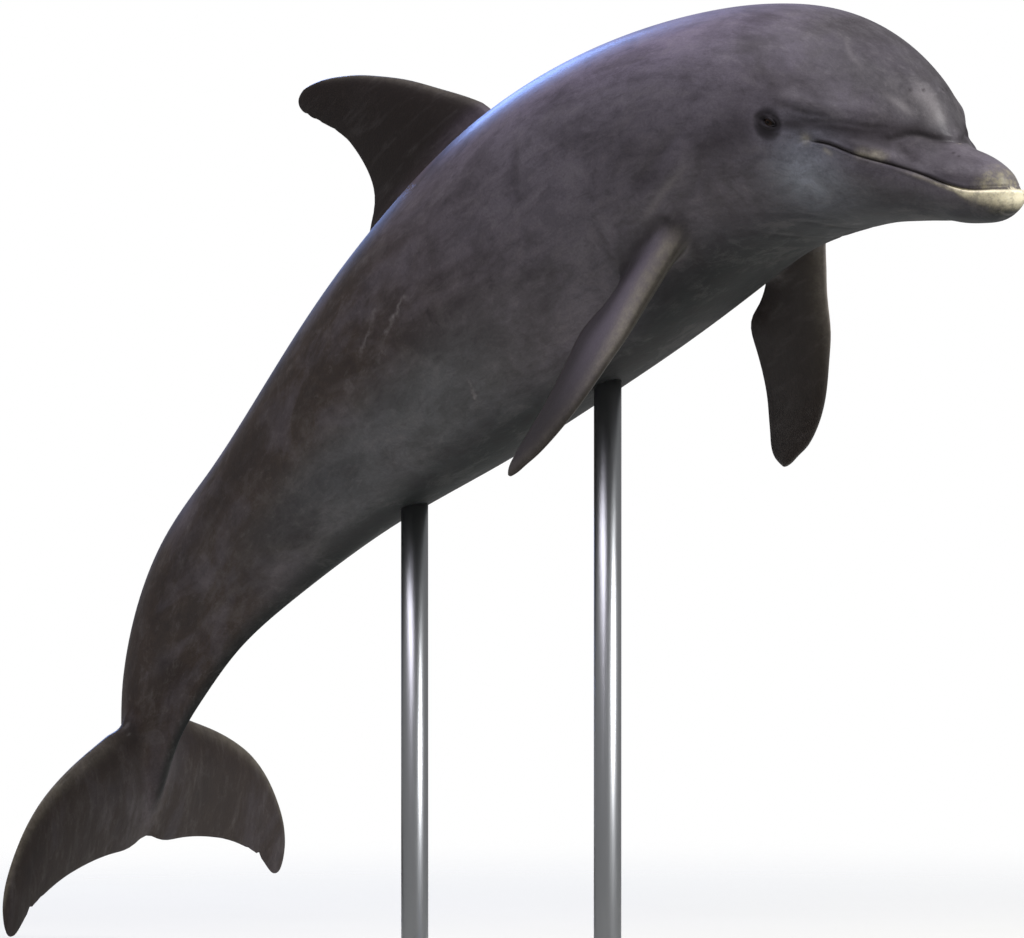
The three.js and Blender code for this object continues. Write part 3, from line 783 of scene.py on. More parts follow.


# ---------------------------------------------------------------- markings, painted shade and painted highlights

# Painted lines: strength, width in mm, fades at both ends and (share, degrees up from the side) points.
BROW_SHADE_LINES = [      # painted shade under the brow from the eye, in the hollow below it and in the crease under the melon
    (0.9, 9, (0.15, 0.12), [(0.143, 8), (0.1378, 7.5), (0.1221, 11.5), (0.1041, 16.5), (0.0915, 20),
                            (0.0825, 26), (0.0775, 33), (0.0725, 41), (0.0685, 50), (0.0645, 60)]),
    (1, 17, (0.7, 0.05), [(0.132, 3.5), (0.12, 6.5), (0.1085, 8.5), (0.0975, 11.5), (0.0885, 15),
                          (0.082, 19.5), (0.0765, 27)]),
    (0.9, 10, (0.2, 0.1), [(0.0545, 88), (0.0575, 68), (0.0643, 52), (0.07, 40), (0.0738, 31),
                           (0.078, 22), (0.086, 14)]),
]
DARK_LINES = [      # painted shade in the fold over the brow, a dark band behind the eye, and painted shade in the creases in front of the flipper's root and behind it
    (0.35, 7, (0.25, 0.25), [(0.153, 15), (0.14, 17), (0.1265, 18), (0.1167, 19), (0.1042, 21)]),
    (0.5, 30, (0.25, 0.25), [(0.156, 2), (0.172, -4), (0.192, -12), (0.214, -20)]),
    (0.7, 6, (0.25, 0.25), [(0.256, -35), (0.2465, -39), (0.2405, -45), (0.2415, -52)]),
    (0.5, 12, (0.25, 0.25), [(0.3087, -53), (0.3021, -44), (0.2931, -36)]),
]
HIGHLIGHT_AND_PALE_LINES = [      # of the right side: a painted highlight and a pale line on the melon's front, a pale line on its side, and a painted highlight along the swelling to the flipper
    (0.6, 17, (0.25, 0.25), [(0.086, 68), (0.0775, 73), (0.0705, 76), (0.0645, 78), (0.0605, 80)]),
    (0.45, 6, (0.4, 0.4), [(0.098, 48), (0.0876, 49), (0.0818, 50), (0.0768, 51), (0.0728, 52)]),
    (0.3, 4, (0.25, 0.25), [(0.1378, 74), (0.1233, 61), (0.1103, 57)]),
    (0.4, 6, (0.3, 0.4), [(0.2727, -36), (0.242, -29), (0.1958, -15)]),
]
PALE_LIP_LINE_AND_HIGHLIGHT = [       # pale under the corner of the mouth, and a painted highlight on the swelling of the upper lip
    (0.12, 4, (0.25, 0.25), [(0.1115, 1.5), (0.107, 0), (0.103, -1.5)]),
    (0.2, 7.5, (0.4, 0.4), [(0.0935, 4.5), (0.0866, 6), (0.0782, 8), (0.07, 10)]),
]

# Small round marks: share, degrees up from the side and radius in mm.
PALE_DOTS = [(0.0081, 60, 3), (0.0038, 90, 4), (0.0525, 90, 3)]
DARK_DOTS = [(0.0828, 65, 3.5), (0.0787, 76, 3), (0.0438, 62, 3), (0.038, 60, 2.5)]
# a painted highlight at the corner of the mouth
MOUTH_CORNER_HIGHLIGHT = [(0.1226, 3, 8)]
# a painted highlight on the flipper's shoulder
FLIPPER_SHOULDER_HIGHLIGHT = [(0.2545, -46, 15)]
PATCH_RADIUS = 0.0275       # m, the dark patch round the eye
SHOULDER = (0.256, -21)     # middle of the dark patch between eye and flipper
SHOULDER_REACH = (0.065, 0.12)            # m, where that patch begins to fade and where it ends
CHEEK_MIDDLE = (0.123, 0.05, -0.008)      # middle of the pale cheek: share, left and height
CHEEK_WIDTH = 0.058         # m


def dots(places, marks):
    """How near each unbent place is to the nearest of some small marks: bells of the distance to each."""
    return np.maximum.reduce([bell(flank_distance(places, share, degrees), radius / 1000)
                              for share, degrees, radius in marks])


def body_reach(share, left, height):
    """How far out a place lies, as a share of the body's outline there: 1 on the plain outline."""
    held = np.clip(share, 0.004, 0.984)
    root = np.sqrt(held)
    middle = waist(held)
    up = height - middle
    reach = half_depth(root, middle, up > 0)
    return np.hypot(left / half_width(root), up / reach), up / reach


def edge_wear(share, height, local):
    """How near each place lies to the leading edge of its fin, for the dorsal fin and the flukes.

    A bell of the distance behind the edge, in shares of the spine.
    """
    dorsal = bell(share - dorsal_lead(np.clip(height, 0.06, 0.2)), 0.004) * smooth(height, 0.1, 0.13)
    forward, aside, _ = tail_axes
    offset = local - notch
    out = np.abs(offset @ aside)
    behind = -(offset @ forward)
    on_fluke = smooth(share, 0.9, 0.95) * smooth(out, 0.015, 0.04)
    return 0.5 * dorsal + bell(behind - fluke_lead(np.clip(out, 0, 0.1325)), 0.006) * on_fluke


def flipper_masks(local, rise_out):
    """Where the flippers are, their outer faces with painted light, their roots, and a painted highlight
    along their leading edges.
    """
    masks = np.zeros((4, len(local)))
    for sign in (1, -1):
        level, chord, thick = np.linalg.solve(flipper_axes(sign), (local * [1, sign, 1] - FLIPPER_ROOT).T)
        held = np.clip(level, -0.2, 0.957)
        lead, trail = flipper_lead(held), flipper_trail(held)
        within = (chord < lead + 0.005) * (chord > trail - 0.006) * (np.abs(thick) < 0.017)
        here = within * (sign * local[:, 1] > 0) * smooth(rise_out, 0.995, 1.04) * smooth(level, -0.16, -0.02)
        # painted light: the outer faces are painted lighter than the inner ones, as lit from above
        outer = smooth(-thick, -0.001, 0.003)
        # a painted highlight along the leading edge, weaker on the inner face
        edge = bell(chord - lead, 0.0065) * (0.12 + 0.88 * outer)
        front = 0.15 + 0.85 * smooth((chord - trail) / np.maximum(lead - trail, 1e-3), 0.3, 0.75)
        masks += np.stack([here, here * outer, here * front * (1 - smooth(level, 0.2, 0.75)), here * edge])
    return masks


def body_tones(share, rise, rise_out, on_flipper):
    """Broad areas of the coat, with painted light on the back and painted shade below: steps along the body
    and from the belly, at a rise of -1, to the back.
    """
    shadow_line = 0.52 + 0.33 * smooth(share, 0.28, 0.36)
    fins = np.maximum.reduce([smooth(rise_out, 1.06, 1.4) * (share > 0.15), on_flipper,
                              0.45 * smooth(share, 0.9, 0.97)])
    return {
        # painted light: the back lighter and bluer than the flanks, as lit from above
        "lit_back": smooth(rise, 0.2, 0.85) * smooth(share, 0.05, 0.08),
        "tail": smooth(share, 0.3, 0.6),
        # painted shade: the lower flank darker, as turned from the light
        "low": smooth(-rise, 0.3, 0.65) * smooth(share, 0.36, 0.5) * (1 - smooth(share, 0.62, 0.8)),
        # painted shade and painted reflection: the underside dark and tinted teal
        "under": smooth(-rise, shadow_line, 1) * (rise_out < 1.2) * (1 - on_flipper),
        "melon": (1 - smooth(share, 0.13, 0.24)) * smooth(rise, -0.1, 0.5),
        "brow_front": smooth(rise, 0.35, 0.85) * smooth(share, 0.045, 0.065) * (1 - smooth(share, 0.1, 0.24)),
        # painted shade under the jaw
        "jaw": smooth(-rise, 0.0, 0.6) * (1 - smooth(share, 0.12, 0.2)),
        "fin": fins * (1 - 0.45 * smooth(share, 0.9, 0.95)),
    }


def mouth_tones(places, share, gap, rise_out):
    """The lip line, the painted shadow above it, the pale lower tip, lip edge and spots with painted
    highlights at the mouth, and the mottled upper tip and chin.

    Steps and bells of the height over the mouth line; the pale tip narrows to a band behind it.
    """
    snout = (share < JAW_END) & (rise_out < 1.3)
    below = snout & (gap < 0)
    tip_width = 0.0035 + 0.028 * np.clip(1 - share / 0.036, 0, 1)**1.2
    lower_tip = (1 - smooth(-gap, 0.25 * tip_width, 1.25 * tip_width)) * (1 - smooth(share, 0.024, 0.042))
    chin = (1 - smooth(-gap, 0.8 * tip_width, 1.7 * tip_width)) * (1 - smooth(share, 0.02, 0.036))
    upper_tip = smooth(gap, -0.001, 0.001) * (1 - smooth(share, 0.009, 0.022))
    lip_edge = bell(gap + 0.0045, 0.0029) * smooth(share, 0.012, 0.03) * (1 - smooth(share, 0.02, 0.07))
    # pale lines and dots, with painted highlights at the corner of the mouth and on the upper lip's swelling
    pale_spots_and_highlights = np.maximum.reduce([
        *strokes(places, PALE_LIP_LINE_AND_HIGHLIGHT), 0.15 * dots(places, MOUTH_CORNER_HIGHLIGHT),
        0.6 * dots(places, PALE_DOTS) * smooth(gap, 0.003, 0.006)])
    closed = snout * (1 - smooth(share, 0.114, 0.1195))
    return {
        "lips": bell(gap, 0.002) * closed * (1 - 0.25 * smooth(-share, -0.1, -0.08)),
        # painted shadow of the upper lip above the mouth line
        "lip_shadow": 0.85 * bell(gap - 0.0028, 0.0062) * closed * smooth(share, 0.012, 0.04),
        "cream_and_highlights": np.clip(np.maximum(lower_tip * below, 0.5 * lip_edge * snout) + pale_spots_and_highlights, 0, 1),
        "mottle": np.maximum(upper_tip * snout, 0.6 * chin * below),
    }


def shade_and_dark_marks(places, share, rise, lip_shadow):
    """Painted shade under the brow, in its hollow and crease, in the folds and furrows and above the mouth,
    with dark bands, dots and a darker crown of the head: the darkest of them at each place.

    The brow's lines lie over each other like ink: 1 less the product of what each lets through.
    """
    brow = 1 - np.prod([1 - stroke for stroke in strokes(places, BROW_SHADE_LINES)], axis=0)
    # painted shade in the furrows of the body's folds
    furrows = -sum(strokes(places, [fold for fold in BODY_FOLDS if fold[0] < 0])) / 5
    crown = 0.13 * smooth(rise, 0.6, 0.95) * smooth(share, 0.07, 0.1) * (1 - smooth(share, 0.14, 0.2))
    darkest = np.maximum.reduce([0.92 * brow, *strokes(places, DARK_LINES), lip_shadow, 0.6 * furrows,
                                 dots(places, DARK_DOTS), crown])
    return np.clip(darkest, 0, 1)


def eye_patch(places, rise_out):
    """The dark patch round the eye: two steps of the distance in a slanted ellipse."""
    ahead = SPINE * EYE_SHARE - places[:, 0]
    above = places[:, 2] - SPINE * EYE_HEIGHT + 0.003
    slant = np.hypot(0.74 * ahead - 0.67 * above, 1.15 * (0.67 * ahead + 0.74 * above)) / PATCH_RADIUS
    return (0.75 * (1 - smooth(slant, 0.78, 1.12)) + 0.25 * (1 - smooth(slant, 0.5, 0.9))) * (rise_out < 1.2)


def highlights_and_pale_lines(places, left):
    """Painted highlights on the melon's front, along the swelling to the flipper and on the flipper's
    shoulder, with pale lines on the melon: only on the right side.
    """
    streaks = np.maximum.reduce([*strokes(places, HIGHLIGHT_AND_PALE_LINES), 0.6 * dots(places, FLIPPER_SHOULDER_HIGHLIGHT)])
    return smooth(-left, -0.003, 0.006) * streaks


def skin_marks(points):
    """All the markings of the coat, painted light, shade and highlights among them, at row-frame points, each
    from 0 to 1, and the unbent places.
    """
    share, left, height = unbent(points)
    places = SPINE * np.stack([share, np.abs(left), height], -1)
    rise_out, rise = body_reach(share, left, height)
    local = (points - ORIGIN) / SPINE
    on_flipper, flipper_face, flipper_root, flipper_edge_highlight = flipper_masks(local, rise_out)
    marks = body_tones(share, rise, rise_out, on_flipper)
    marks |= mouth_tones(places, share, (height - mouth(share)) * SPINE, rise_out)
    # painted shade in hollows, folds and creases, with dark bands and dots
    marks["shade"] = shade_and_dark_marks(places, share, rise, marks.pop("lip_shadow"))
    marks["patch"] = eye_patch(places, rise_out)
    # painted highlights and pale lines, on the right side only
    marks["gleam"] = highlights_and_pale_lines(places, left)
    marks["cheek"] = bell(np.linalg.norm(places - SPINE * np.array(CHEEK_MIDDLE), axis=-1), CHEEK_WIDTH)
    marks["band"] = 1 - smooth(flank_distance(places, *SHOULDER), *SHOULDER_REACH)
    # painted light on the flippers' outer faces
    marks["flipper_face"] = flipper_face
    marks["flipper_root"] = flipper_root
    # worn leading edges of the dorsal fin and flukes, and a painted highlight along the flippers' leading
    # edges, strongest at the root
    fin_wear = 0.6 * edge_wear(share, height, local)
    marks["wear"] = np.clip(fin_wear + flipper_edge_highlight * (0.3 + 1.4 * flipper_root**2), 0, 1)
    return marks, SPINE * np.stack([share, left, height], -1)


def store(mesh, name, values):
    """Keeps numbers, or vectors, on the corners of a mesh for its material to read."""
    vector = np.ndim(values) == 2
    attribute = mesh.attributes.new(name, "FLOAT_VECTOR" if vector else "FLOAT", "POINT")
    attribute.data.foreach_set("vector" if vector else "value", np.asarray(values, np.float32).ravel())


marks, rest = skin_marks(mesh_points(skin.data))
store(skin.data, "rest", rest)
for mark_name, values in marks.items():
    store(skin.data, mark_name, values)
skin.data.polygons.foreach_set("material_index", np.zeros(len(skin.data.polygons), np.int32))
skin.data.polygons.foreach_set("use_smooth", np.ones(len(skin.data.polygons), bool))


# ---------------------------------------------------------------- materials

class Wire:
    """An output socket of a material; sums and products of wires and numbers add Math nodes."""

    def __init__(self, finish, socket):
        self.finish = finish
        self.socket = socket

    def math(self, operation, *others):
        """A Math node on this wire and others."""
        return self.finish.node("ShaderNodeMath", {"operation": operation}, [self, *others])

    def from_number(self, operation, number):
        """A Math node on a number and this wire, in this order."""
        return self.finish.node("ShaderNodeMath", {"operation": operation}, [number, self])

    def __add__(self, other):
        return self.math("ADD", other)

    def __sub__(self, other):
        return self.math("SUBTRACT", other)

    def __mul__(self, other):
        return self.math("MULTIPLY", other)

    def __truediv__(self, other):
        return self.math("DIVIDE", other)

    def __pow__(self, other):
        return self.math("POWER", other)

    def __rsub__(self, other):
        return self.from_number("SUBTRACT", other)

    def __rtruediv__(self, other):
        return self.from_number("DIVIDE", other)

    __radd__ = __add__
    __rmul__ = __mul__


class Finish:
    """A material in the making: nodes are added by type, and a Principled shader ends it."""

    def __init__(self, name, **constants):
        self.material = bpy.data.materials.new(name)
        self.material.use_nodes = True
        self.tree = self.material.node_tree
        self.shader = self.tree.nodes["Principled BSDF"]
        for socket, value in constants.items():
            self.shader.inputs[socket.replace("_", " ")].default_value = value

    def node(self, kind, settings, inputs, output=0):
        """Adds a node: its settings, such as an operation, first and then its sockets.

        Inputs are a list, or a dictionary by socket name or number; each is a wire or a plain value.
        """
        made = self.tree.nodes.new(kind)
        for name, value in settings.items():
            setattr(made, name, value)
        pairs = inputs.items() if isinstance(inputs, dict) else enumerate(inputs)
        for key, value in pairs:
            if isinstance(value, Wire):
                self.tree.links.new(value.socket, made.inputs[key])
            else:
                made.inputs[key].default_value = value
        return Wire(self, made.outputs[output])

    def feed(self, socket, wire):
        """Leads a wire into a socket of the shader."""
        self.tree.links.new(wire.socket, self.shader.inputs[socket])

    def attribute(self, name, output="Fac"):
        """Numbers, or with the output Vector places, that are stored on the mesh."""
        return self.node("ShaderNodeAttribute", {"attribute_name": name}, [], output)

    def parts(self, vector):
        """The three numbers of a vector."""
        split = self.node("ShaderNodeSeparateXYZ", {}, [vector]).socket.node
        return [Wire(self, socket) for socket in split.outputs]

    def object_place(self):
        """The place on the object itself, in metres."""
        return self.node("ShaderNodeTexCoord", {}, [], "Object")

    def vector(self, operation, *inputs, output="Vector"):
        """A Vector Math node."""
        return self.node("ShaderNodeVectorMath", {"operation": operation}, list(inputs), output)

    def stretched(self, place, scale):
        """A place multiplied axis by axis, so that a pattern on it is drawn out."""
        return self.vector("MULTIPLY", place, scale)

    def noise(self, place, scale, detail=3.0, roughness=0.5, distortion=0.0):
        """Fractal noise from 0 to 1, mostly between 0.3 and 0.7."""
        return self.node("ShaderNodeTexNoise", {},
                         {"Vector": place, "Scale": scale, "Detail": detail, "Roughness": roughness,
                          "Distortion": distortion})

    def ease(self, value, low, high):
        """0 at low, 1 at high, and a smooth step between them."""
        return self.node("ShaderNodeMapRange", {"interpolation_type": "SMOOTHSTEP"},
                         [value, low, high, 0.0, 1.0])

    def mix(self, share, first, second, blend="MIX"):
        """Two colours mixed: share of the second one."""
        return self.node("ShaderNodeMix", {"data_type": "RGBA", "blend_type": blend},
                         {0: share, 6: first, 7: second}, 2)

    def bump(self, height, strength, distance, normal=None):
        """A normal tilted by a height, on top of another normal."""
        inputs = {"Height": height, "Strength": strength, "Distance": distance}
        if normal is not None:
            inputs["Normal"] = normal
        return self.node("ShaderNodeBump", {}, inputs)

    def stroke(self, place, start, end, width):
        """1 on a straight line between two places and 0 beyond its width.

        The share along the line is the dot product with its direction, held between 0 and 1; the
        distance left over is eased away.
        """
        run = np.subtract(end, start)
        offset = self.vector("SUBTRACT", place, tuple(start))
        share = self.vector("DOT_PRODUCT", offset, tuple(run / (run @ run)), output="Value")
        held = self.node("ShaderNodeClamp", {}, [share, 0.0, 1.0])
        nearest = self.node("ShaderNodeVectorMath", {"operation": "SCALE"}, {0: tuple(run), "Scale": held})
        gap = self.vector("DISTANCE", offset, nearest, output="Value")
        return 1 - self.ease(gap, 0.0, width)


def tone(red, green, blue):
    """A colour from its eight-bit screen values, made linear by the usual 2.4 power curve."""
    screen = np.array([red, green, blue]) / 255
    linear = np.where(screen < 0.04045, screen / 12.92, ((screen + 0.055) / 1.055)**2.4)
    return (*linear.tolist(), 1.0)


# The back's and the flipper faces' tones are painted light; the lower flank's, underside's and jaw's tones
# are painted shade.
FLANK, LIT_BACK, UNDERSIDE_SHADE = tone(93, 88, 97), tone(108, 98, 119), tone(18, 24, 24)
LOWER_FLANK_SHADE, TAIL, MELON = tone(81, 83, 87), tone(58, 48, 43), tone(81, 76, 82)
CHEEK, UNDER_JAW_SHADE, BROW = tone(136, 141, 154), tone(43, 45, 49), tone(60, 58, 60)
FIN, LIT_FLIPPER_FACE, FLIPPER_TIP = tone(31, 24, 22), tone(97, 91, 101), tone(48, 44, 47)
# The dark tone serves both the skin's own mottling and painted shade.
DARK_SKIN_AND_SHADE, PATCH, LIP_LINE = tone(30, 25, 28), tone(15, 10, 13), tone(30, 24, 23)
# The pale, cream and worn tones also serve painted highlights.
PALE_SKIN_AND_HIGHLIGHT, CREAM_AND_HIGHLIGHT, WORN_AND_HIGHLIGHT, MOTTLE = tone(136, 131, 132), tone(226, 217, 188), tone(142, 136, 122), tone(136, 130, 106)
BLACK, WHITE = tone(0, 0, 0), tone(255, 255, 255)

# Scars on the right flank: start and end as (share, height), width in mm and strength, below 0 if dark.
SCARS = [
    ((0.4629, -0.0117), (0.4602, -0.0269), 8.8, -0.7),
    ((0.4712, 0.0043), (0.4919, 0.0), 6.6, 0.45),
    ((0.4919, 0.0), (0.5251, -0.0118), 7.7, 0.4),
    ((0.5016, 0.0137), (0.5348, 0.0), 6.6, 0.4),
    ((0.5582, -0.0094), (0.5638, -0.011), 11.0, 0.45),
    ((0.4698, -0.0535), (0.4809, -0.0613), 6.6, 0.4),
    ((0.6383, -0.0412), (0.6894, -0.0417), 7.7, -0.5),
    ((0.6894, -0.0417), (0.7046, -0.0388), 6.6, -0.4),
]


def right_flank(share, height):
    """The unbent place, in metres, of a point of the right flank at this share and height."""
    return np.array([share, -side_at(share, height, np.linspace(-1.5, 1.5, 301)), height]) * SPINE


def skin_finish():
    """Wet, dark grey skin: mottling along the flow, pale lips and tip, scars and fine pores, with painted
    light on the back and flippers, painted highlights and painted shade.
    """
    finish = Finish("dolphin_skin", IOR=1.4, Specular_IOR_Level=0.26, Coat_Roughness=0.2)
    place = finish.attribute("rest", "Vector")
    mark = {name: finish.attribute(name) for name in marks}
    flow = finish.noise(finish.stretched(place, (2.4, 6.0, 6.0)), 1.6, 5.0, 0.62, 0.6)
    blotch = finish.noise(place, 9.0, 4.0, 0.6, 0.3)
    streak = finish.noise(finish.stretched(place, (5.0, 26.0, 26.0)), 2.0, 4.0, 0.6)
    stain = finish.noise(finish.stretched(place, (9.0, 16.0, 16.0)), 1.3, 8.0, 0.72, 0.4)
    lines = finish.noise(finish.stretched(place, (16.0, 40.0, 40.0)), 1.7, 9.0, 0.78, 0.5)
    grain = finish.noise(place, 260.0, 2.0, 0.6)
    speckle = finish.noise(place, 70.0, 3.0, 0.7)
    patina = 1 - 0.85 * mark["fin"]
    # painted light on the flippers' outer faces, darker towards the tip and trailing edge
    lit_flipper_tone = finish.mix(mark["flipper_root"], FLIPPER_TIP, LIT_FLIPPER_FACE)
    cream_share = 0.3 + 0.5 * blotch + 0.7 * finish.ease(speckle, 0.3, 0.65)

    # Coats over the flank's tone, from the broad areas to the small marks: share and tone of each.
    coats = [
        # painted light on the back
        (mark["lit_back"] * (0.4 + 0.8 * flow), LIT_BACK),
        (mark["tail"] * (0.6 + 0.6 * finish.ease(flow, 0.35, 0.6)), TAIL),
        # painted shade on the lower flank
        (mark["low"] * (0.5 + 0.6 * flow), LOWER_FLANK_SHADE),
        # painted shade and painted reflection on the underside
        (mark["under"] * 0.95, UNDERSIDE_SHADE),
        (mark["melon"] * (0.55 + 0.8 * finish.ease(blotch, 0.3, 0.7)), MELON),
        (mark["brow_front"] * 0.8, BROW),
        # painted shade under the jaw
        (mark["jaw"] * 0.8, UNDER_JAW_SHADE),
        (mark["cheek"] * (0.5 + 0.7 * flow), CHEEK),
        (finish.ease(flow, 0.46, 0.72) * 0.45, DARK_SKIN_AND_SHADE),
        (finish.ease(blotch, 0.52, 0.75) * 0.35, DARK_SKIN_AND_SHADE),
        (mark["band"] * (0.05 + 0.4 * blotch), DARK_SKIN_AND_SHADE),
        (mark["fin"], FIN),
        (finish.ease(streak, 0.5, 0.75) * 0.08, PALE_SKIN_AND_HIGHLIGHT),
        (finish.ease(stain, 0.48, 0.6) * 0.24 * patina, DARK_SKIN_AND_SHADE),
        (finish.ease(stain, 0.48, 0.38) * 0.08 * patina, PALE_SKIN_AND_HIGHLIGHT),
        (finish.ease(lines, 0.5, 0.66) * 0.27, DARK_SKIN_AND_SHADE),
        (finish.ease(lines, 0.47, 0.36) * 0.09 * patina * (1 - mark["under"]), PALE_SKIN_AND_HIGHLIGHT),
        # painted light on the flippers' outer faces
        (mark["flipper_face"] * (0.7 + 0.5 * flow), lit_flipper_tone),
        # worn fin edges and a painted highlight on the flippers' leading edges
        (mark["wear"] * (0.35 + 0.3 * finish.ease(speckle, 0.3, 0.7)), WORN_AND_HIGHLIGHT),
        # painted highlights and pale lines
        (mark["gleam"] * (0.35 + 0.5 * blotch), PALE_SKIN_AND_HIGHLIGHT),
        # painted shade in hollows, folds and creases, with dark bands and dots
        (mark["shade"] * 0.88, DARK_SKIN_AND_SHADE),
        (mark["patch"] * 0.87, PATCH),
        (mark["mottle"] * (0.15 + 0.65 * finish.ease(speckle, 0.4, 0.7)), MOTTLE),
        # pale jaw tip and lips, with painted highlights at the mouth
        (mark["cream_and_highlights"] * cream_share, CREAM_AND_HIGHLIGHT),
        (mark["lips"] * 0.85, LIP_LINE),
    ]
    wobble = finish.node("ShaderNodeTexNoise", {}, {"Vector": place, "Scale": 45.0, "Detail": 4.0}, 1)
    centred = finish.vector("SUBTRACT", wobble, (0.5, 0.5, 0.5))
    ragged = finish.vector("MULTIPLY_ADD", centred, (0.03, 0.03, 0.03), place)
    broken = finish.ease(stain, 0.36, 0.62)
    for start, end, width, strength in SCARS:
        scar = finish.stroke(ragged, right_flank(*start), right_flank(*end), width / 1000)
        coats.append((scar * abs(strength) * broken, PALE_SKIN_AND_HIGHLIGHT if strength > 0 else DARK_SKIN_AND_SHADE))
    colour = FLANK
    for share, coat in coats:
        colour = finish.mix(share, colour, coat)
    colour = finish.mix(0.24, colour, finish.mix(grain, BLACK, WHITE), "OVERLAY")
    finish.feed("Base Color", colour)
    dull = mark["patch"] + 0.5 * mark["melon"] + 0.7 * mark["under"]
    finish.feed("Roughness", 0.4 + 0.2 * blotch + 0.1 * grain + 0.2 * dull)
    finish.feed("Coat Weight", (0.03 + 0.08 * blotch) * (1 - 0.66 * dull))
    pores = finish.bump(grain, 0.25, 0.0008)
    finish.feed("Normal", finish.bump(speckle, 0.2, 0.002, pores))
    return finish.material


def eye_finish():
    """A dark brown iris with fibres round a pupil shaped like a smile, under a clear, wet cornea."""
    finish = Finish("dolphin_eye", Roughness=0.12, IOR=1.36, Specular_IOR_Level=0.12, Coat_Weight=0.12,
                    Coat_Roughness=0.03)
    long, tall, _ = finish.parts(finish.attribute("gaze", "Vector"))
    radius = (long * long + tall * tall) ** 0.5
    spoke = finish.noise(tall.math("ARCTAN2", long), 9.0, 3.0)
    iris = finish.mix(finish.ease(spoke, 0.3, 0.7), tone(22, 14, 11), tone(44, 30, 22))
    colour = finish.mix(finish.ease(radius, IRIS_RADIUS, IRIS_RADIUS + 0.002), iris, tone(16, 12, 12))
    drooping = (long / PUPIL[0]) ** 2 + ((tall + 0.0004) / PUPIL[1]) ** 2
    colour = finish.mix(1 - finish.ease(drooping, 0.85, 1.15), colour, tone(4, 4, 5))
    finish.feed("Base Color", colour)
    return finish.material


def steel_finish():
    """Brushed steel: fine streaks along the rod."""
    finish = Finish("brushed_rods", Base_Color=tone(172, 174, 177), Metallic=1.0)
    place = finish.object_place()
    streak = finish.noise(finish.stretched(place, (1.0, 1.0, 0.02)), 900.0, 2.0)
    finish.feed("Roughness", 0.26 + 0.14 * streak)
    finish.feed("Normal", finish.bump(streak, 0.12, 0.0004))
    return finish.material


def paint_finish():
    """Satin charcoal powder coat with a fine orange-peel texture and soft clouds of tone."""
    finish = Finish("base_paint", Specular_IOR_Level=0.5)
    place = finish.object_place()
    peel = finish.noise(place, 320.0, 2.0)
    cloud = finish.noise(place, 5.0, 4.0)
    finish.feed("Base Color", finish.mix(cloud * 0.6 + peel * 0.2, tone(44, 45, 47), tone(62, 63, 66)))
    finish.feed("Roughness", 0.42 + 0.18 * cloud)
    finish.feed("Normal", finish.bump(peel, 0.3, 0.0006))
    return finish.material


def floor_finish():
    """Matt white studio floor that fades into the white all round it."""
    finish = Finish("studio_floor", Roughness=0.9, Specular_IOR_Level=0.1)
    place = finish.object_place()
    cloud = finish.noise(place, 1.5, 2.0)
    finish.feed("Base Color", finish.mix(cloud, tone(229, 227, 213), tone(234, 232, 219)))
    finish.feed("Alpha", 1 - finish.ease(finish.vector("LENGTH", place, output="Value"), 1.2, 3.6))
    return finish.material


# ---------------------------------------------------------------- eyeballs

def corners(node):
    """The low and the high corner of a CAD node's box."""
    return np.array(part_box(node))


def eyeball(node, sign):
    """A ball turned about the line of sight, with a flatter, slightly raised cornea in front.

    Rings run from the front pole to the back one; the radius is R plus a bell of the angle.
    """
    low, high = corners(node)
    centre = (low + high) / 2
    ball = (high - low).min() / 2
    polar, turn = np.meshgrid(np.linspace(0.02, np.pi - 0.02, 56), around(72), indexing="ij")
    radius = ball * (0.985 + 0.015 * bell(polar, 0.42))
    out = radius * np.cos(polar)
    long = radius * np.sin(polar) * np.cos(turn)
    tall = radius * np.sin(polar) * np.sin(turn)
    forward, _, above = (axis[0] for axis in axes(np.array([EYE_SHARE])))
    aside = np.array([0, sign, 0.0])
    grid = centre + out[..., None] * aside + long[..., None] * forward + tall[..., None] * above
    points, faces = tube(grid)
    made = mesh_object(node + "_ball", points, outward(points, faces))
    gaze = np.stack([long, tall, out], -1).reshape(-1, 3)
    store(made.data, "gaze", np.vstack([gaze, [[0, 0, ball], [0, 0, -ball]]]))
    return made


# ---------------------------------------------------------------- stand

# Metres: the rod, its foot flange and weld, the screws in the flange, and the base plate's roundings.
ROD_RADIUS, FLANGE, WELD = 0.021, 0.012, 0.008
SCREW_CIRCLE, SCREW_RADIUS, SCREW_HEIGHT, SCREW_SOCKET = 0.045, 0.0065, 0.0045, 0.0031
PLATE_CORNER, PLATE_EDGE = 0.11, 0.006


def standing(node):
    """The low and the high corner of a CAD node's box, and the middle of its underside."""
    low, high = corners(node)
    return low, high, np.array([*(low + high)[:2] / 2, low[2]])


def turned_piece(centre, profile, segments=72):
    """Points and faces of a solid turned about an upright line, from (radius, height) pairs."""
    turn = around(segments)
    radius, height = np.array(profile).T
    ring = np.stack([np.cos(turn), np.sin(turn), 0 * turn], -1)
    rings = centre + radius[:, None, None] * ring + height[:, None, None] * np.array([0, 0, 1.0])
    points, faces = tube(rings)
    return points, outward(points, faces)


def joined(name, pieces):
    """One mesh object from several lists of points and faces."""
    points, faces, start = [], [], 0
    for piece_points, piece_faces in pieces:
        points.append(piece_points)
        faces += [[corner + start for corner in face] for face in piece_faces]
        start += len(piece_points)
    return mesh_object(name, np.vstack(points), faces)


def rounded_corner(radius, height, size):
    """(radius, height) pairs of a quarter circle of this size, at the outer upper corner of a profile."""
    return [(radius - size + size * np.cos(turn), height - size + size * np.sin(turn))
            for turn in np.linspace(0, np.pi / 2, 6)]


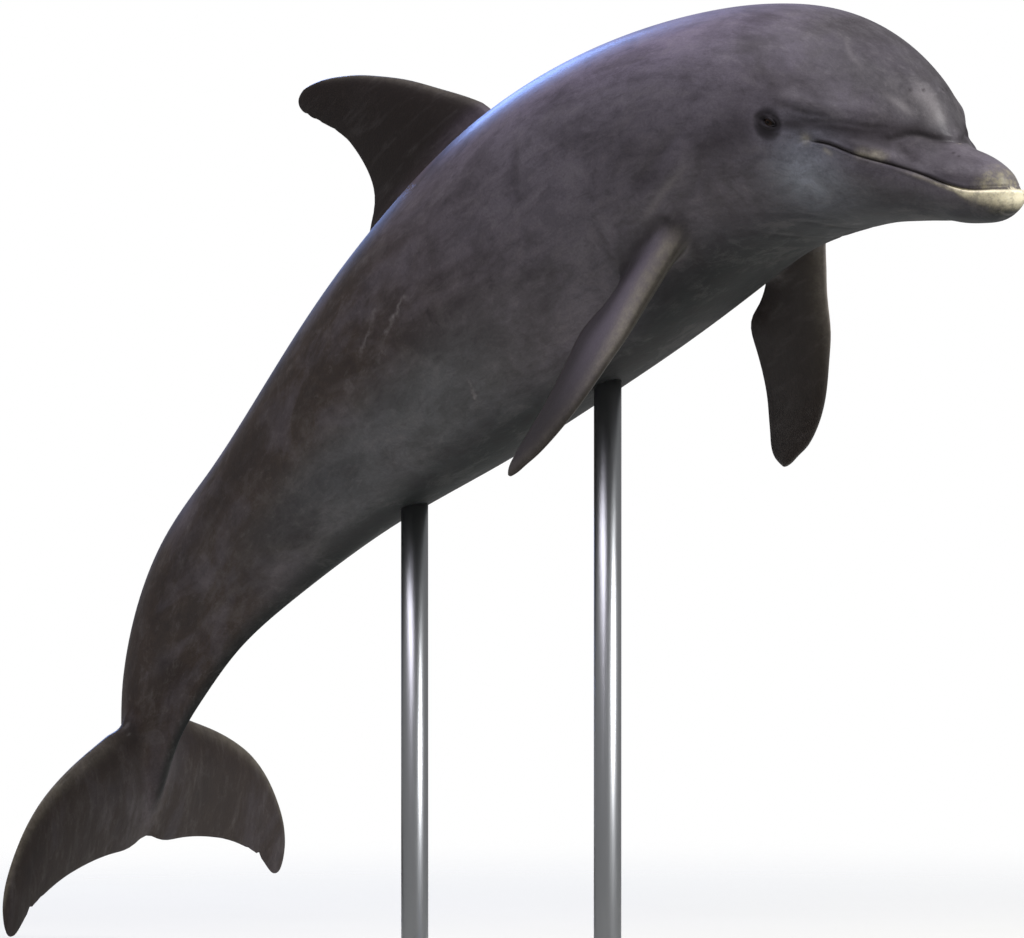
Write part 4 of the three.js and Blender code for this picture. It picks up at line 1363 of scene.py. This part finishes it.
def screw_head(flange):
    """Profile of a cap screw with a chamfered rim and a socket, seated in the top of a flange."""
    top = flange + SCREW_HEIGHT
    return [(SCREW_RADIUS, flange - 0.001), (SCREW_RADIUS, top - 0.001), (SCREW_RADIUS - 0.001, top),
            (SCREW_SOCKET + 0.0002, top), (SCREW_SOCKET, top - 0.0025), (0.0005, top - 0.0025)]


def rod(node):
    """A steel rod on a screwed flange, with a weld at its root: a quarter circle between the two."""
    low, high, centre = standing(node)
    foot = (high - low)[0] / 2
    weld = [(ROD_RADIUS + WELD * (1 - np.sin(turn)), FLANGE + WELD * (1 - np.cos(turn)))
            for turn in np.linspace(0, np.pi / 2, 7)]
    profile = [(foot - 0.001, 0.0), (foot, 0.001), *rounded_corner(foot, FLANGE, 0.003), *weld,
               (ROD_RADIUS, high[2] - low[2])]
    pieces = [turned_piece(centre, profile)]
    for angle in np.pi / 3 * (np.arange(6) + 0.5):
        aside = SCREW_CIRCLE * np.array([np.cos(angle), np.sin(angle), 0])
        pieces.append(turned_piece(centre + aside, screw_head(FLANGE), 24))
    return joined(node + "_turned", pieces)


def base_plate(node):
    """A flat plate with round corners, a rounded upper edge and a shadow gap under its rim.

    Its outline is a rectangle whose corners are quarter circles; each ring is that outline set in.
    """
    low, high, centre = standing(node)
    half = (high - low)[:2] / 2
    thick = high[2] - low[2]
    turn = around(160) + np.pi / 160
    quarter = np.stack([np.sign(np.cos(turn)), np.sign(np.sin(turn))], -1)
    circle = np.stack([np.cos(turn), np.sin(turn)], -1)
    inset = [(0.012, 0.0), (0.012, 0.003), (0.0015, 0.0035), (0, 0.005)]
    inset += [(PLATE_EDGE * (1 - np.cos(rise)), thick - PLATE_EDGE * (1 - np.sin(rise)))
              for rise in np.linspace(0, np.pi / 2, 7)]
    inset += [(0.06, thick)]
    rings = []
    for step_in, height in inset:
        flat = quarter * (half - PLATE_CORNER) + circle * (PLATE_CORNER - step_in)
        rings.append(centre + np.column_stack([flat, np.full(len(flat), height)]))
    points, faces = tube(np.array(rings))
    return mesh_object(node + "_plate", points, outward(points, faces))


# ---------------------------------------------------------------- camera, floor and lights

CAMERA_AZIMUTH, CAMERA_ELEVATION = np.radians(40.7), np.radians(2.4)
CAMERA_DISTANCE = 7.854     # spine lengths from the middle of the body
CAMERA_AIM = (0.011, 0.112)  # how far the aim lies left of and below that middle, in spine lengths
LENS, SENSOR = 458.8, 36.0  # mm

# Soft square lights: metres to the right of, above and in front of the middle of the body as the
# camera sees it, then size, watts and colour.
LIGHTS = {
    "key": (3.4, 3.0, 2.6, 1.8, 300, (1, 1, 1)),
    "top": (-1.6, 4.5, 0.9, 3.6, 210, (0.94, 0.9, 1)),
    "rim": (-1.8, 2.6, -7.0, 1.6, 210, (0.25, 0.42, 1)),
}
STUDIO_LIGHT = 0.29         # strength of the white studio as a light
FLOOR_HALF = 9              # m

camera_back = np.array([np.cos(CAMERA_ELEVATION) * np.cos(CAMERA_AZIMUTH),
                        -np.cos(CAMERA_ELEVATION) * np.sin(CAMERA_AZIMUTH), np.sin(CAMERA_ELEVATION)])
camera_right = np.array([np.sin(CAMERA_AZIMUTH), np.cos(CAMERA_AZIMUTH), 0])
camera_up = np.cross(camera_back, camera_right)
middle = world(0.45, 0.0, 0.0)


def aimed(forward, up):
    """Rotation whose -Z looks forward, with +Y as near to up as it can be."""
    side = np.cross(forward, up)
    side /= np.linalg.norm(side)
    return Matrix(np.stack([side, np.cross(side, forward), -forward], -1).tolist()).to_euler()


def add_camera():
    """The camera: far off on the animal's right front, with a long lens."""
    data = bpy.data.cameras.new("camera")
    data.lens, data.sensor_width, data.sensor_fit = LENS, SENSOR, "HORIZONTAL"
    data.clip_start, data.clip_end = 1, 200
    camera = bpy.data.objects.new("camera", data)
    aim_left, aim_down = CAMERA_AIM
    offset = CAMERA_DISTANCE * camera_back - aim_left * camera_right - aim_down * camera_up
    camera.location = middle + SPINE * offset
    camera.rotation_euler = aimed(-camera_back, camera_up)
    bpy.context.scene.collection.objects.link(camera)
    bpy.context.scene.camera = camera


def add_light(name, right, up, back, size, watts, colour):
    """A square soft light that looks at the middle of the body."""
    data = bpy.data.lights.new(name, "AREA")
    data.shape, data.size, data.energy, data.color = "SQUARE", size, watts, colour
    light = bpy.data.objects.new(name, data)
    offset = right * camera_right + up * camera_up + back * camera_back
    light.location = middle + offset
    light.rotation_euler = aimed(-offset / np.linalg.norm(offset), np.array([0, 0, 1.0]))
    bpy.context.scene.collection.objects.link(light)


def add_studio():
    """A white studio all round, seen at full strength and weaker as a light."""
    studio = bpy.data.worlds.new("studio")
    studio.use_nodes = True
    nodes, links = studio.node_tree.nodes, studio.node_tree.links
    seen = nodes.new("ShaderNodeLightPath").outputs["Is Camera Ray"]
    level = nodes.new("ShaderNodeMapRange")
    level.inputs["To Min"].default_value = STUDIO_LIGHT
    level.inputs["To Max"].default_value = 1
    links.new(seen, level.inputs["Value"])
    links.new(level.outputs["Result"], nodes["Background"].inputs["Strength"])
    nodes["Background"].inputs["Color"].default_value = (1, 1, 1, 1)
    bpy.context.scene.world = studio


def add_piece(piece, finish, slot, *nodes):
    """Gives a piece its material and lets it ride for these nodes; the slot is not used."""
    piece.data.materials.clear()
    piece.data.materials.append(finish)
    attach(piece, "root")
    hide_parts(*nodes)


FLESH = [node for node in frame["nodes"] if not node.startswith(("stand_", "eye_"))]
add_piece(skin, skin_finish(), "skin_body", *FLESH)
eye_glass, steel = eye_finish(), steel_finish()
for eye_node, sign in (("eye_left", 1), ("eye_right", -1)):
    add_piece(eyeball(eye_node, sign), eye_glass, "eye", eye_node)
for rod_node in ("stand_rod_front", "stand_rod_rear"):
    add_piece(rod(rod_node), steel, "rod_steel", rod_node)
add_piece(base_plate("stand_base"), paint_finish(), "base_paint", "stand_base")

add_camera()
for light_name, light in LIGHTS.items():
    add_light(light_name, *light)
add_studio()
floor_corners = FLOOR_HALF * np.array([[-1, -1, 0], [1, -1, 0], [1, 1, 0], [-1, 1, 0]])
floor = mesh_object("floor", floor_corners, [[0, 1, 2, 3]])
floor.data.materials.append(floor_finish())
bpy.context.scene.view_settings.view_transform = "Standard"
